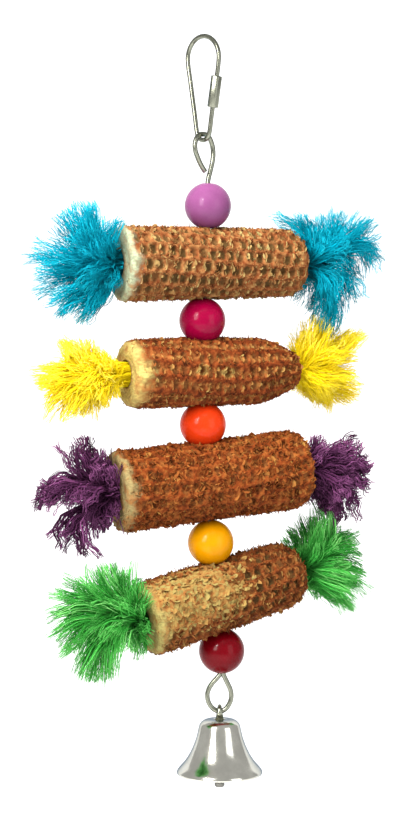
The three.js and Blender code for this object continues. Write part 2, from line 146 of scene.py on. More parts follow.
# Width of the bores in each cob's left and right end
BORES = ((9.6, 8.4), (9.6, 6.4), (9.6, 8.4), (9.6, 7.4))
LOCKS = {
    "blue_left": (
        (104, 240, 120, 218, 0.4), (103, 243, 112, 214, 0.5), (102, 238, 102, 208, 0.4), (97, 236, 85, 200),
        (94, 240, 90, 206), (88, 243, 70, 201), (84, 245, 63, 211), (80, 248, 48, 218), (78, 252, 44, 232),
        (75, 256, 35, 243), (74, 262, 30, 254), (74, 268, 28, 266), (74, 274, 31, 282), (76, 280, 33, 297),
        (80, 285, 44, 310), (84, 290, 52, 319), (90, 295, 64, 323), (97, 298, 75, 324),
        (101, 296, 83, 316, 0.7), (110, 292, 92, 309, 0.5),
    ),
    "blue_right": (
        (300, 230, 267, 210, 0.5), (303, 230, 277, 209, 0.5), (306, 230, 290, 213, 0.5),
        (309, 232, 301, 210, 0.5), (314, 234, 309, 220, 0.5), (322, 238, 324, 212, 0.7),
        (330, 236, 337, 214, 0.8), (335, 232, 342, 204), (340, 232, 350, 208), (343, 232, 359, 212),
        (346, 236, 371, 219), (348, 240, 375, 227), (350, 244, 376, 237), (358, 245, 379, 252),
        (362, 247, 378, 268), (352, 258, 373, 284, 0.8), (342, 264, 356, 270, 0.8),
        (348, 270, 366, 274, 0.6), (352, 279, 372, 298, 0.8), (350, 281, 362, 302, 0.8),
        (343, 283, 348, 303, 0.8), (334, 290, 339, 334, 1.3), (333, 293, 331, 336, 1.3),
        (331, 295, 323, 334),
    ),
    "yellow_left": (
        (90, 360, 89, 343), (84, 360, 74, 337), (80, 362, 60, 341), (78, 364, 62, 350, 0.6),
        (76, 368, 52, 364), (72, 372, 38, 369, 0.5), (70, 377, 36, 381), (70, 381, 43, 390),
        (70, 386, 41, 404), (72, 390, 45, 416), (76, 393, 52, 427, 0.8), (80, 393, 62, 421),
        (85, 394, 79, 414), (94, 390, 92, 419), (99, 391, 103, 406, 0.8),
    ),
    "yellow_right": (
        (304, 350, 307, 328), (311, 346, 317, 314), (318, 344, 327, 312), (326, 346, 343, 326),
        (332, 348, 353, 331), (335, 350, 360, 334), (338, 353, 367, 338), (334, 358, 352, 352, 0.7),
        (332, 366, 362, 358, 0.12), (326, 370, 345, 366, 0.6), (328, 374, 353, 379), (328, 378, 363, 386),
        (327, 381, 361, 395), (325, 384, 355, 404), (321, 386, 341, 406), (318, 388, 332, 411, 0.8),
        (315, 388, 326, 407), (311, 387, 317, 399), (306, 384, 306, 396),
    ),
    "purple_left": (
        (108, 476, 106, 462, 0.6), (106, 472, 101, 452, 0.9), (102, 470, 96, 449), (92, 463, 91, 444),
        (89, 462, 86, 433, 1.6), (84, 464, 78, 432, 2.2), (80, 466, 68, 438), (60, 480, 44, 474, 0.7),
        (58, 482, 30, 494, 1.8), (56, 483, 32, 507, 1.8), (58, 486, 38, 508, 0.9), (70, 494, 47, 513, 0.5),
        (76, 496, 62, 508, 0.5), (66, 518, 48, 546, 1.3), (69, 520, 55, 550, 1.1), (77, 526, 85, 562, 1.3),
        (80, 526, 90, 556), (95, 512, 95, 534, 0.8), (102, 510, 104, 532, 0.8), (109, 508, 112, 527, 0.7),
    ),
    "purple_right": (
        (318, 460, 313, 449, 0.6), (324, 456, 325, 444), (330, 452, 334, 440), (336, 449, 349, 434, 0.3),
        (342, 449, 361, 438), (344, 450, 366, 443, 1.2), (346, 456, 366, 453), (348, 462, 373, 464),
        (348, 468, 370, 472), (348, 476, 373, 485), (347, 481, 369, 495), (352, 490, 366, 508, 0.7),
        (356, 495, 358, 527, 0.5), (345, 495, 355, 517, 0.5), (336, 502, 343, 527, 0.9),
        (330, 498, 333, 514, 0.8), (322, 494, 323, 506, 0.8),
    ),
    "green_left": (
        (136, 590, 142, 578, 0.6), (128, 588, 132, 563, 0.5), (122, 588, 120, 561), (116, 588, 109, 562),
        (108, 588, 98, 564), (100, 590, 86, 562), (94, 592, 68, 572, 0.6), (90, 595, 68, 580),
        (86, 598, 55, 590), (84, 603, 51, 602), (82, 608, 49, 615), (82, 614, 48, 628), (84, 620, 53, 643),
        (88, 626, 62, 652), (92, 632, 64, 662), (96, 637, 70, 673), (99, 641, 82, 685), (102, 643, 96, 691),
        (106, 642, 104, 682), (110, 640, 111, 668), (114, 636, 114, 652, 0.7), (122, 630, 124, 640, 0.5),
        (138, 636, 153, 664, 0.06),
    ),
    "green_right": (
        (310, 552, 308, 540, 0.5), (314, 545, 313, 528), (317, 535, 315, 511), (320, 532, 319, 502),
        (322, 532, 323, 506), (326, 534, 330, 509), (331, 536, 342, 521), (334, 538, 352, 529),
        (342, 541, 359, 541, 0.7), (338, 552, 354, 549), (340, 556, 360, 557), (342, 562, 365, 567),
        (342, 568, 366, 578), (342, 573, 367, 588), (340, 578, 361, 595, 0.4), (338, 582, 352, 588, 0.7),
        (336, 592, 355, 609, 0.7), (334, 593, 351, 613, 0.8), (326, 592, 333, 605, 0.7),
        (318, 587, 320, 597, 0.7), (312, 583, 309, 589, 0.6),
    ),
}
ROPES = in_turn(
    # How far a wisp strays to the next lock, and the share of wisps that comes forward
    fan=(1.0, 1.0, 0.7, 1.0),
    front=(0.24, 0.3, 0.45, 0.24),
    # Wisps in a tuft, fibres in a wisp, and rings in a fibre
    wisps=(230, 240, 130, 240),
    fibres=(12, 12, 13, 12),
    rings=(10, 9, 14, 9),
    # Radius of a wisp at its bend and at its tip
    spread=(2.0, 2.4, 2.1, 2.0),
    tip=(1.8, 1.8, 1.6, 1.6),
    # Height and number of the waves, and how far fibres fall out of step
    curl=(0.9, 0.8, 0.9, 0.4),
    waves=(2.0, 1.8, 2.8, 1.3),
    unruly=(0.9, 1.2, 0.6, 0.7),
    # Radius of a fibre
    width=(0.115, 0.14, 0.22, 0.13),
    # Share of the dye's brightness at the root, where painted shade darkens it in the bore, and in the
    # darkest wisps
    root_share=(0.22, 0.85, 0.35, 0.18),
    dark_share=(0.6, 0.92, 0.36, 0.5),
)
# Share of the wisps that lie round the mouth of the bore
COLLARS = {"blue_left": 0.08, "purple_left": 0.16, "purple_right": 0.1, "green_left": 0.12}

# The photo's size in pixels, and what it shows
PHOTO_SIZE = (400, 833)
SEEN_MIDDLE = Vector((-1.1, 1.6, -128.8))
SEEN_HEIGHT = 286.6
CAMERA_DISTANCE = 820
CAMERA_ELEVATION = 4

LINK_TOP, LINK_BOTTOM = 0.8, -34.3
LINK_HIGH_RADIUS, LINK_LOW_RADIUS = 7.45, 3.0
LINK_YAW = math.radians(-45)
LINK_RIGHT_KNOT, LINK_LEFT_KNOTS = -27, (-26, -14)
GATE = 2.6
SLEEVE_TOP, SLEEVE_LENGTH = -13, 10.5
STRING_Y = 1.6
TOP_EYE_Z = -32.3
TOP_EYE = (
    (0.8, -12.6), (-0.9, -10.7), (-2.7, -7.9), (-3.9, -5.1), (-3.7, -2.4), (-2.2, -0.5), (0, 0),
    (2.2, -0.5), (3.9, -2.6), (4.8, -5.8), (4.5, -9), (3.4, -12.5), (2.3, -16),
)
LOWER_EYE = (
    (7, -218.2), (8.2, -221), (9.5, -224), (9.7, -226.6), (8.9, -229), (7.5, -230.7), (5.7, -231.3),
    (3.9, -230.7), (2.3, -229), (1.5, -226.6), (1.7, -224.2), (3.1, -221.6), (4.6, -219.9), (6.1, -218.1),
)
BELL_TOP = -234
BELL_PROFILE = (
    (1.75, 0), (4.6, -0.15), (5.5, -0.4), (6.6, -1.2), (7.15, -2.2), (7.5, -4), (8.1, -6.6), (9.2, -9.7),
    (10.8, -13), (12.5, -15.4), (14, -16.9), (14.8, -18), (15, -18.7), (14.8, -19.3),
)
STAPLE_TOP, STAPLE_BOTTOM = -229.5, -238.6
STAPLE_OUTER, STAPLE_WAIST, STAPLE_INNER, STAPLE_RADIUS = 1.9, 0.85, 1.8, 0.6
# Half the height of the staple's waist
STAPLE_NECK = 0.9
# How many times as wide the staple's pressed wire is at its top, and what is added to that at the bell
STAPLE_WIDE, STAPLE_WIDER = 1.1, 1.2
CLAPPER_RING, CLAPPER_WIRE, CLAPPER_GAP = 1.6, 0.5, 0.2
CLAPPER_BOTTOM = -257.9
CLAPPER_NECK = ((0.3, -1.3), (0.6, -1.6))
CLAPPER_PROFILE = (
    (0.6, 4.2), (0.9, 3.6), (1.55, 3.3), (1.75, 3), (1.75, 2.2), (1.5, 2), (1.5, 1.8), (1.75, 1.6),
    (1.75, 0.6), (1.4, 0.1), (0.7, 0), (0.05, 0),
)


def linear(red, green, blue):
    """A screen colour, 0 to 255, as the scene-linear colour that Blender works in."""
    shares = (value / 255 for value in (red, green, blue))
    return tuple(s / 12.92 if s <= 0.04045 else ((s + 0.055) / 1.055) ** 2.4 for s in shares)


def shaded(colour, share):
    return tuple(channel * share for channel in colour)


def length_of(name, description, millimetres):
    default = millimetres * MM
    return FloatProperty(name=name, description=description, default=default, unit="LENGTH", precision=5)


def colour_of(name, description, red, green, blue):
    return FloatVectorProperty(
        name=name, description=description, default=linear(red, green, blue), subtype="COLOR", min=0, max=1
    )


# Settings that a user would change


class MetalSettings(PropertyGroup):
    """The link, the wire and the bell."""

    link_wire: length_of("Link wire", "Thickness of the link's wire", 1.6)
    string_wire: length_of("String wire", "Thickness of the wire that carries the cobs", 1.7)
    sleeve_across: length_of("Sleeve", "Width of the hexagon sleeve over its corners", 4)
    staple_wire: length_of("Staple wire", "Thickness of the bell's staple", 1.2)
    bell_wall: length_of("Bell wall", "Thickness of the bell's metal", 0.8)
    steel: colour_of("Steel", "Plated link and wire", 154, 156, 140)
    chrome: colour_of("Chrome", "Polished bell", 240, 238, 226)


class BeadSettings(PropertyGroup):
    """The round beads on the wire."""

    bore: length_of("Bore", "Width of the hole through a bead", 2.8)
    bead_lilac: colour_of("Lilac", "Top bead", 134, 74, 120)
    bead_magenta: colour_of("Magenta", "Second bead", 144, 2, 52)
    bead_orange: colour_of("Orange", "Third bead", 214, 56, 16)
    bead_amber: colour_of("Amber", "Fourth bead", 222, 148, 2)
    bead_red: colour_of("Red", "Lowest bead", 108, 2, 14)


class CobSettings(PropertyGroup):
    """The shelled corn cobs."""

    pale: colour_of("Pale", "Palest worn glumes", 200, 186, 122)
    straw: colour_of("Straw", "Straw glumes", 202, 170, 106)
    husk: colour_of("Husk", "Tan glumes", 186, 126, 74)
    chaff: colour_of("Chaff", "Red brown chaff", 148, 78, 40)
    bark: colour_of("Bark", "Darkest chaff", 88, 46, 24)
    # The pit floors' colour, darkened with painted shade of the hollows.
    shade: colour_of("Shade", "Floor of the pits", 84, 66, 36)
    core_1: colour_of("Core 1", "Cut ends of the top cob", 178, 184, 150)
    core_2: colour_of("Core 2", "Cut ends of the second cob", 206, 184, 108)
    core_3: colour_of("Core 3", "Cut ends of the third cob", 160, 142, 94)
    core_4: colour_of("Core 4", "Cut ends of the lowest cob", 168, 154, 92)


class RopeSettings(PropertyGroup):
    """The frayed rope in the cobs' ends."""

    # Each dye has a tip colour, which is painted light: the paler shine of thin fibre tips and of glinting
    # fibres.
    blue: colour_of("Blue", "Rope in the top cob", 0, 170, 196)
    blue_tip: colour_of("Blue tip", "Worn tips of the blue rope", 40, 196, 214)
    yellow: colour_of("Yellow", "Rope in the second cob", 255, 228, 24)
    yellow_tip: colour_of("Yellow tip", "Worn tips of the yellow rope", 255, 240, 120)
    purple: colour_of("Purple", "Rope in the third cob", 108, 56, 98)
    purple_tip: colour_of("Purple tip", "Worn tips of the purple rope", 160, 100, 146)
    green: colour_of("Green", "Rope in the lowest cob", 72, 190, 74)
    green_tip: colour_of("Green tip", "Worn tips of the green rope", 160, 226, 140)


class StageSettings(PropertyGroup):
    """Floor, lights and camera."""

    distance: length_of("Distance", "Camera to the middle of the toy", CAMERA_DISTANCE)
    elevation: FloatProperty(
        name="Elevation",
        description="Camera angle above level",
        default=math.radians(CAMERA_ELEVATION),
        subtype="ANGLE",
    )
    seen_height: length_of("Seen height", "Height of the picture at the toy", SEEN_HEIGHT)
    drop: length_of("Drop", "Gap from the clapper down to the floor", 150)
    floor: colour_of("Floor", "Floor and backdrop", 232, 232, 232)


# Shader expressions


class Value:
    """A node's output that takes part in Python sums, each of which adds a Math node."""

    def __init__(self, finish, socket):
        self.finish = finish
        self.socket = socket

    def worked(self, operation, first, second):
        return self.finish.node("ShaderNodeMath", {"operation": operation}, {0: first, 1: second})

    def __add__(self, other):
        return self.worked("ADD", self, other)

    __radd__ = __add__

    def __mul__(self, other):
        return self.worked("MULTIPLY", self, other)

    __rmul__ = __mul__

    def __sub__(self, other):
        return self.worked("SUBTRACT", self, other)

    def __rsub__(self, other):
        return self.worked("SUBTRACT", other, self)


class Finish:
    """A procedural material. Its node method adds any node, and the others name the ones used most."""

    def __init__(self, name):
        self.material = bpy.data.materials.new(name)
        self.material.use_nodes = True
        self.tree = self.material.node_tree
        self.shader = self.tree.nodes["Principled BSDF"]

    def node(self, kind, settings, inputs, output=0):
        """Adds a node with those settings, and feeds its inputs by name or by place."""
        made = self.tree.nodes.new(kind)
        for key, setting in settings.items():
            setattr(made, key, setting)
        for socket, value in inputs.items():
            self.feed(made.inputs[socket], value)
        return Value(self, made.outputs[output])

    def feed(self, socket, value):
        if isinstance(value, Value):
            self.tree.links.new(value.socket, socket)
        elif socket.type == "RGBA" and len(value) == 3:
            socket.default_value = (*value, 1)
        else:
            socket.default_value = value

    def attribute(self, name):
        return self.node("ShaderNodeAttribute", {"attribute_name": name}, {}, "Fac")

    def place(self):
        return self.node("ShaderNodeTexCoord", {}, {}, "Object")

    def noise(self, size, detail=3, roughness=0.55, stretch=None):
        where = self.place()
        if stretch:
            where = self.node("ShaderNodeMapping", {}, {"Vector": where, "Scale": stretch})
        inputs = {"Vector": where, "Scale": 1 / size, "Detail": detail, "Roughness": roughness}
        return self.node("ShaderNodeTexNoise", {}, inputs)

    def between(self, value, low, high):
        """Maps low to 0 and high to 1, softly, and holds it there."""
        settings = {"interpolation_type": "SMOOTHSTEP"}
        return self.node("ShaderNodeMapRange", settings, {"Value": value, "From Min": low, "From Max": high})

    def mix(self, share, first, second):
        """Mixes two colours, whose sockets are places 6 and 7 of a Mix node."""
        return self.node("ShaderNodeMix", {"data_type": "RGBA"}, {0: share, 6: first, 7: second}, 2)

    def mottled(self, pattern, low, high, colour, share):
        """A colour that is dimmed to a share of itself where the pattern is low."""
        return self.mix(self.between(pattern, low, high), shaded(colour, share), colour)

    def ramp(self, share, stops):
        ramped = self.node("ShaderNodeValToRGB", {}, {0: share})
        elements = ramped.socket.node.color_ramp.elements
        while len(elements) < len(stops):
            elements.new(0.5)
        for element, (place, colour) in zip(elements, stops):
            element.position = place
            element.color = (*colour, 1)
        return ramped

    def bump(self, height, strength, depth):
        inputs = {"Strength": strength, "Distance": depth, "Height": height}
        return self.node("ShaderNodeBump", {}, inputs, "Normal")

    def wear(self, **inputs):
        """Sets the shader's sockets, where an underscore in a name stands for a space."""
        for name, value in inputs.items():
            self.feed(self.shader.inputs[name.replace("_", " ")], value)
        return self.material


# What metal reflects at its edges, dimmed so that they stand out from the pale backdrop
METAL_EDGE = (0.2, 0.25, 0.32)


def plated_metal(name, colour, polish, smudge):
    finish = Finish(name)
    cloud = finish.noise(6 * MM, detail=4)
    scratch = finish.noise(0.9 * MM, detail=2, stretch=(1, 1, 0.12))
    tone = finish.mottled(cloud, 0.35, 0.75, colour, 0.86)
    rough = polish + smudge * finish.between(cloud, 0.4, 0.8) + smudge * 0.5 * scratch
    return finish.wear(
        Base_Color=tone,
        Metallic=1.0,
        Roughness=rough,
        Normal=finish.bump(scratch, 0.05, 0.1 * MM),
        Specular_Tint=METAL_EDGE,
    )


def gloss_bead(name, colour):
    finish = Finish(name)
    cloud = finish.noise(7 * MM, detail=3, roughness=0.5)
    dust = finish.noise(0.7 * MM, detail=2)
    tone = finish.mottled(cloud, 0.3, 0.75, colour, 0.84)
    return finish.wear(
        Base_Color=tone,
        Roughness=0.26 + 0.1 * finish.between(dust, 0.45, 0.8),
        Normal=finish.bump(cloud, 0.04, 0.4 * MM),
        Specular_IOR_Level=0.04,
        Coat_Weight=0.22,
        Coat_Roughness=0.05,
    )


def dry_cob(name, settings, core, warmth):
    """Chaff and straw over pits darkened by painted shade. The mesh carries depth, tint and cut, from 0 to 1.
    """
    finish = Finish(name)
    depth = finish.attribute("depth")
    tint = finish.attribute("tint")
    cut = finish.attribute("cut")
    grain = finish.noise(1.1 * MM, detail=5, roughness=0.65)
    patch = finish.noise(5 * MM, detail=3)
    shades = (settings.bark, settings.chaff, settings.husk, settings.straw, settings.pale)
    warm = [tuple(channel * share for channel, share in zip(shade, warmth)) for shade in shades]
    stops = list(zip((0.0, 0.24, 0.5, 0.75, 1.0), warm))
    lot = 0.75 * tint + 0.6 * grain - 0.3 + 0.36 * patch - 0.18
    chaff = finish.ramp(lot, stops)
    # Painted shade: the chaff darkens to the pit-floor colour where depth is low, in pits, the bore and at
    # flake roots.
    pit_shaded = finish.mix(finish.between(depth + 0.24 * grain - 0.12, 0.0, 0.8), settings.shade, chaff)
    fibre = finish.noise(0.6 * MM, detail=4, stretch=(0.3, 1, 1))
    wood = finish.mottled(fibre, 0.3, 0.7, core, 0.62)
    stain = finish.mix(0.7 * finish.between(patch, 0.46, 0.72), wood, warm[2])
    return finish.wear(
        Base_Color=finish.mix(cut, pit_shaded, stain),
        Roughness=0.8 + 0.2 * grain,
        Normal=finish.bump(grain, 0.5, 0.25 * MM),
        Specular_IOR_Level=0.15,
    )


def frayed_fibre(name, colour, root_share, dark_share, pale):
    """Dyed fibre, painted shade at the root and painted light at the tip. The mesh carries along and tint,
    from 0 to 1.
    """
    finish = Finish(name)
    along = finish.attribute("along")
    tint = finish.attribute("tint")
    patch = finish.noise(3 * MM, detail=3)
    dyed = finish.mottled(tint + 0.6 * patch - 0.3, 0.15, 0.85, colour, dark_share)
    # Painted shade: fibres darken towards the root, where they crowd into the bore.
    rooted = finish.mix(finish.between(along, 0.36, 0.72), shaded(colour, root_share), dyed)
    # Painted light: the tips pale as light shows through the thin fringes, and a few fibres get painted
    # glints.
    tipped = finish.mix(0.25 * finish.between(along + 0.3 * tint, 0.85, 1.25), rooted, pale)
    glint = 0.5 * finish.between(tint, 0.9, 1.0) * finish.between(along, 0.45, 0.7)
    return finish.wear(
        Base_Color=finish.mix(glint, tipped, pale),
        Roughness=0.75 + 0.2 * tint,
        Specular_IOR_Level=0.05,
    )


def pale_floor(colour):
    finish = Finish("floor")
    speck = finish.noise(30 * MM, detail=2)
    tone = finish.mottled(speck, 0.3, 0.7, colour, 0.985)
    depth = finish.node("ShaderNodeSeparateXYZ", {}, {0: finish.place()}, "Y")
    back = finish.between(depth, 0.1, 0.5)
    return finish.wear(
        Base_Color=tone,
        Roughness=0.9,
        Specular_IOR_Level=0.1,
        Emission_Color=finish.mix(back, (0, 0, 0), tone),
        Emission_Strength=0.9,
    )


# Modelling


def start_piece():
    """Deselects everything, so that the next operators act on the new piece alone."""
    bpy.ops.object.select_all(action="DESELECT")


def edit(piece, picks, kind="FACE"):
    """Opens a piece in edit mode with the faces, edges or vertices that a test picks."""
    bpy.ops.object.mode_set(mode="EDIT")
    bpy.ops.mesh.select_mode(type=kind)
    bpy.ops.mesh.select_all(action="DESELECT")
    mesh = bmesh.from_edit_mesh(piece.data)
    for element in {"FACE": mesh.faces, "EDGE": mesh.edges, "VERT": mesh.verts}[kind]:
        if picks(element):
            element.select_set(True)
    mesh.select_flush_mode()
    bmesh.update_edit_mesh(piece.data)


def leave_edit():
    bpy.ops.object.mode_set(mode="OBJECT")


def apply_modifier(piece, kind, **settings):
    modifier = piece.modifiers.new(kind.title(), kind)
    for key, setting in settings.items():
        setattr(modifier, key, setting)
    bpy.ops.object.modifier_apply(modifier=modifier.name)


def set_in_place(piece, matrix):
    """Moves a finished mesh to its place and leaves the object at the origin."""
    piece.data.transform(matrix @ piece.matrix_world)
    piece.matrix_world = Matrix.Identity(4)


def paint(mesh, name, values):
    """Stores a value at each point, for the material to read by that name."""
    mesh.attributes.new(name, "FLOAT", "POINT").data.foreach_set("value", values)


def hand_over(piece, name, body, node, material):
    """Names a finished piece, gives it its material, hangs it on its body and hides the part node that it
    stands for.
    """
    piece.name = name
    piece.data.name = name
    piece.data.materials.clear()
    piece.data.materials.append(material)
    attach(piece, body)
    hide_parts(node)


def turned_profile(profile, sides):
    """A skin turned round Z: a ring at the first radius, extruded and resized from point to point."""
    radius, height = profile[0]
    start_piece()
    bpy.ops.mesh.primitive_circle_add(vertices=sides, radius=radius * MM, location=(0, 0, height * MM))
    piece = bpy.context.object
    bpy.ops.object.transform_apply()
    edit(piece, lambda edge: True, "EDGE")
    for next_radius, next_height in profile[1:]:
        share = next_radius / radius
        bpy.ops.mesh.extrude_region_move(
            TRANSFORM_OT_translate={"value": (0, 0, (next_height - height) * MM)}
        )
        bpy.ops.transform.resize(value=(share, share, 1), center_override=(0, 0, 0))
        radius, height = next_radius, next_height
    leave_edit()
    return piece


def outward_normals():
    bpy.ops.object.mode_set(mode="EDIT")
    bpy.ops.mesh.select_all(action="SELECT")
    bpy.ops.mesh.normals_make_consistent(inside=False)
    bpy.ops.object.mode_set(mode="OBJECT")


WIRE_END = 0.25


def bent_wire(points, thickness):
    """A round wire bent through points, with a ring inside the rim of each cut end."""
    start_piece()
    bpy.ops.curve.primitive_bezier_curve_add()
    piece = bpy.context.object
    curve = piece.data
    curve.splines.clear()
    spline = curve.splines.new("BEZIER")
    spline.bezier_points.add(len(points) - 1)
    for knot, point in zip(spline.bezier_points, points):
        knot.co = point
        knot.handle_left_type = "AUTO"
        knot.handle_right_type = "AUTO"
    curve.dimensions = "3D"
    curve.resolution_u = 6
    curve.bevel_depth = thickness / 2
    curve.bevel_resolution = 4
    curve.use_fill_caps = True
    bpy.ops.object.convert(target="MESH")
    edit(piece, lambda face: len(face.verts) > 4)
    bpy.ops.mesh.inset(thickness=thickness * WIRE_END)
    leave_edit()
    bpy.ops.object.shade_smooth_by_angle(angle=math.radians(50))
    return piece


def arc(centre_z, radius, start, stop, count):
    """Points on a circle, across and up, from one angle in degrees to another."""
    turns = [math.radians(start + (stop - start) * i / count) for i in range(count + 1)]
    return [(math.cos(turn) * radius, centre_z + math.sin(turn) * radius) for turn in turns]


def link_leg():
    """A leg's slope, the height of the sleeve's middle, and a function for the half width at a height."""
    high_z = LINK_TOP - LINK_HIGH_RADIUS
    low_z = LINK_BOTTOM + LINK_LOW_RADIUS
    slope = math.asin((LINK_HIGH_RADIUS - LINK_LOW_RADIUS) / (high_z - low_z))
    foot = (LINK_LOW_RADIUS * math.cos(slope), low_z - LINK_LOW_RADIUS * math.sin(slope))
    middle = SLEEVE_TOP - SLEEVE_LENGTH / 2 * math.cos(slope)
    return slope, middle, lambda z: foot[0] + (z - foot[1]) * math.tan(slope)


# Link and sleeve


class COBTOY_OT_screw_link(Operator):
    """Bend the pear-shaped link and slip its hexagon sleeve over the gate"""

    bl_idname = "cobtoy.screw_link"
    bl_label = "Screw Link"

    # How far the sleeve's corners and edges are broken, and the width of its rims
    SLEEVE_CORNER, SLEEVE_EDGE, SLEEVE_RIM = 0.35, 0.12, 0.45
    # Each step inside the rims: how far in it is, and what the height there is multiplied by
    SLEEVE_STEPS = ((0.3, 1.03), (0.15, 0.9))

    def execute(self, context):
        metal = context.scene.cobtoy_metal
        steel = plated_metal("link_steel", metal.steel, 0.16, 0.14)
        self.bend_link(metal, steel)
        self.make_sleeve(metal, plated_metal("sleeve_steel", shaded(metal.steel, 1.12), 0.2, 0.12))
        return {"FINISHED"}

    def bend_link(self, metal, steel):
        slope, middle, half_width = link_leg()
        ends = [middle - GATE / 2, middle + GATE / 2]
        degrees = math.degrees(slope)
        low = arc(LINK_BOTTOM + LINK_LOW_RADIUS, LINK_LOW_RADIUS, -degrees, degrees - 180, 8)
        high = arc(LINK_TOP - LINK_HIGH_RADIUS, LINK_HIGH_RADIUS, degrees + 180, -degrees, 12)
        right = [(half_width(z), z) for z in (ends[0], LINK_RIGHT_KNOT)]
        left = [(-half_width(z), z) for z in LINK_LEFT_KNOTS]
        route = [*right, *low, *left, *high, (half_width(ends[1]), ends[1])]
        piece = bent_wire([Vector((u * MM, 0, z * MM)) for u, z in route], metal.link_wire)
        set_in_place(piece, Matrix.Rotation(LINK_YAW, 4, "Z"))
        hand_over(piece, "screw_link", "link", "link", steel)

    def make_sleeve(self, metal, steel):
        slope, middle, half_width = link_leg()
        start_piece()
        bpy.ops.mesh.primitive_cylinder_add(
            vertices=6, radius=metal.sleeve_across / 2, depth=SLEEVE_LENGTH * MM, end_fill_type="NGON"
        )
        piece = bpy.context.object
        edit(piece, lambda edge: abs(edge.verts[0].co.z - edge.verts[1].co.z) > MM, "EDGE")
        bpy.ops.mesh.bevel(offset=self.SLEEVE_CORNER * MM, segments=3)
        edit(piece, lambda face: abs(face.normal.z) > 0.9)
        bpy.ops.mesh.inset(thickness=self.SLEEVE_RIM * MM)
        for inset, stretch in self.SLEEVE_STEPS:
            bpy.ops.mesh.inset(thickness=inset * MM)
            bpy.ops.transform.resize(value=(1, 1, stretch), center_override=(0, 0, 0))
        leave_edit()
        apply_modifier(piece, "BEVEL", width=self.SLEEVE_EDGE * MM, segments=2, limit_method="ANGLE")
        bpy.ops.object.shade_smooth_by_angle(angle=math.radians(35))
        turn = Matrix.Rotation(LINK_YAW, 4, "Z")
        place = turn @ Matrix.Translation((half_width(middle) * MM, 0, middle * MM))
        set_in_place(piece, place @ Matrix.Rotation(slope, 4, "Y"))
        hand_over(piece, "link_sleeve_dressed", "sleeve", "link_sleeve", steel)


# Wire and beads


def bead_centre(name):
    low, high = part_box(name)
    return (low + high) / 2


def bead_radius(name):
    low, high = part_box(name)
    return (high - low).x / 2


class COBTOY_OT_string_wire(Operator):
    """Bend the stiff wire with its hook eye, its shaft and its lower eye"""

    bl_idname = "cobtoy.string_wire"
    bl_label = "String Wire"

    def execute(self, context):
        metal = context.scene.cobtoy_metal
        turn = LINK_YAW + math.pi / 2
        top = [Vector((u * math.cos(turn), u * math.sin(turn), TOP_EYE_Z + drop)) * MM for u, drop in TOP_EYE]
        low = [Vector((x, STRING_Y, z)) * MM for x, z in LOWER_EYE]
        piece = bent_wire([*top, *map(bead_centre, BEAD_NAMES), *low], metal.string_wire)
        steel = plated_metal("wire_steel", metal.steel, 0.2, 0.14)
        hand_over(piece, "string_wire", "string", "wire", steel)
        return {"FINISHED"}


class COBTOY_OT_beads(Operator):
    """Turn the round beads, each bored for the wire"""

    bl_idname = "cobtoy.beads"
    bl_label = "Beads"

    # Shares that each ring of the bore's rim is drawn in to, across and along
    RIM_STEPS = ((0.93, 0.993), (0.93, 0.97), (1, 0.5))

    def execute(self, context):
        beads = context.scene.cobtoy_beads
        for i, name in enumerate(BEAD_NAMES):
            piece = self.bored_ball(name, beads.bore / 2)
            above = BEAD_NAMES[max(i - 1, 0)]
            below = BEAD_NAMES[min(i + 1, len(BEAD_NAMES) - 1)]
            along = bead_centre(above) - bead_centre(below)
            turn = UP.rotation_difference(along).to_matrix().to_4x4()
            set_in_place(piece, Matrix.Translation(bead_centre(name)) @ turn)
            finish = gloss_bead(name, getattr(beads, name))
            hand_over(piece, f"{name}_gloss", "string", name, finish)
        return {"FINISHED"}

    def bored_ball(self, name, bore):
        start_piece()
        bpy.ops.mesh.primitive_uv_sphere_add(segments=48, ring_count=36, radius=bead_radius(name))
        piece = bpy.context.object
        edit(piece, lambda vertex: vertex.co.xy.length < bore, "VERT")
        bpy.ops.mesh.delete(type="VERT")
        edit(piece, lambda edge: len(edge.link_faces) == 1, "EDGE")
        for share, sink in self.RIM_STEPS:
            bpy.ops.mesh.extrude_region_move()
            bpy.ops.transform.resize(value=(share, share, sink), center_override=(0, 0, 0))
        bpy.ops.mesh.bridge_edge_loops()
        leave_edit()
        outward_normals()
        bpy.ops.object.shade_smooth_by_angle(angle=math.radians(60))
        return piece


# Cobs

COB_SEED = 20
AROUND = 160
RINGS_PER_PITCH = 7
FACE_RINGS = 8
BORE_SEEN, BORE_RINGS = 9, 3
FRONT = math.pi / 2
ROW_DRIFT, DRIFT_LENGTH = 0.14, 17
PIT_LONG, PIT_WIDE, PIT_STEEP = 0.9, 0.94, 2.8
# The second cob has two deep pits in front, given along it and round it
DEEP_PITS = {1: ((-6.5, FRONT), (3.8, FRONT))}
DEEPER = 3.4
HOLE_RADIUS, HOLE_RIM = 1.3, 2.4
# How unevenly rows and pits are placed, in shares of a cell, and how their depth varies
ROW_SHIFT, PIT_SHIFT, PIT_LIFT = 0.08, 0.14, 0.12
DEEP_SPREAD, DEEP_RANGE = 0.25, (0.3, 1.5)
# Pits grow shallower over this length towards an end, down to this share
END_FADE, END_SHARE = 2.5, 0.25
SEAT_GAP = 0.1
# The lowest cob is worn to straw towards its left end
WORN_COB, WORN_TURN, WORN_END, WORN_FADE = 3, math.radians(60), 12, 14
# A flake's outline, across and up, and how far its two middles swell
GLUME_RIM = ((-0.45, 0), (-0.5, 0.55), (-0.2, 1.0), (0.22, 0.9), (0.5, 0.5), (0.45, 0))
GLUME_MIDDLE, GLUME_SWELL = (0, 0.5), (0.17, 0.07)
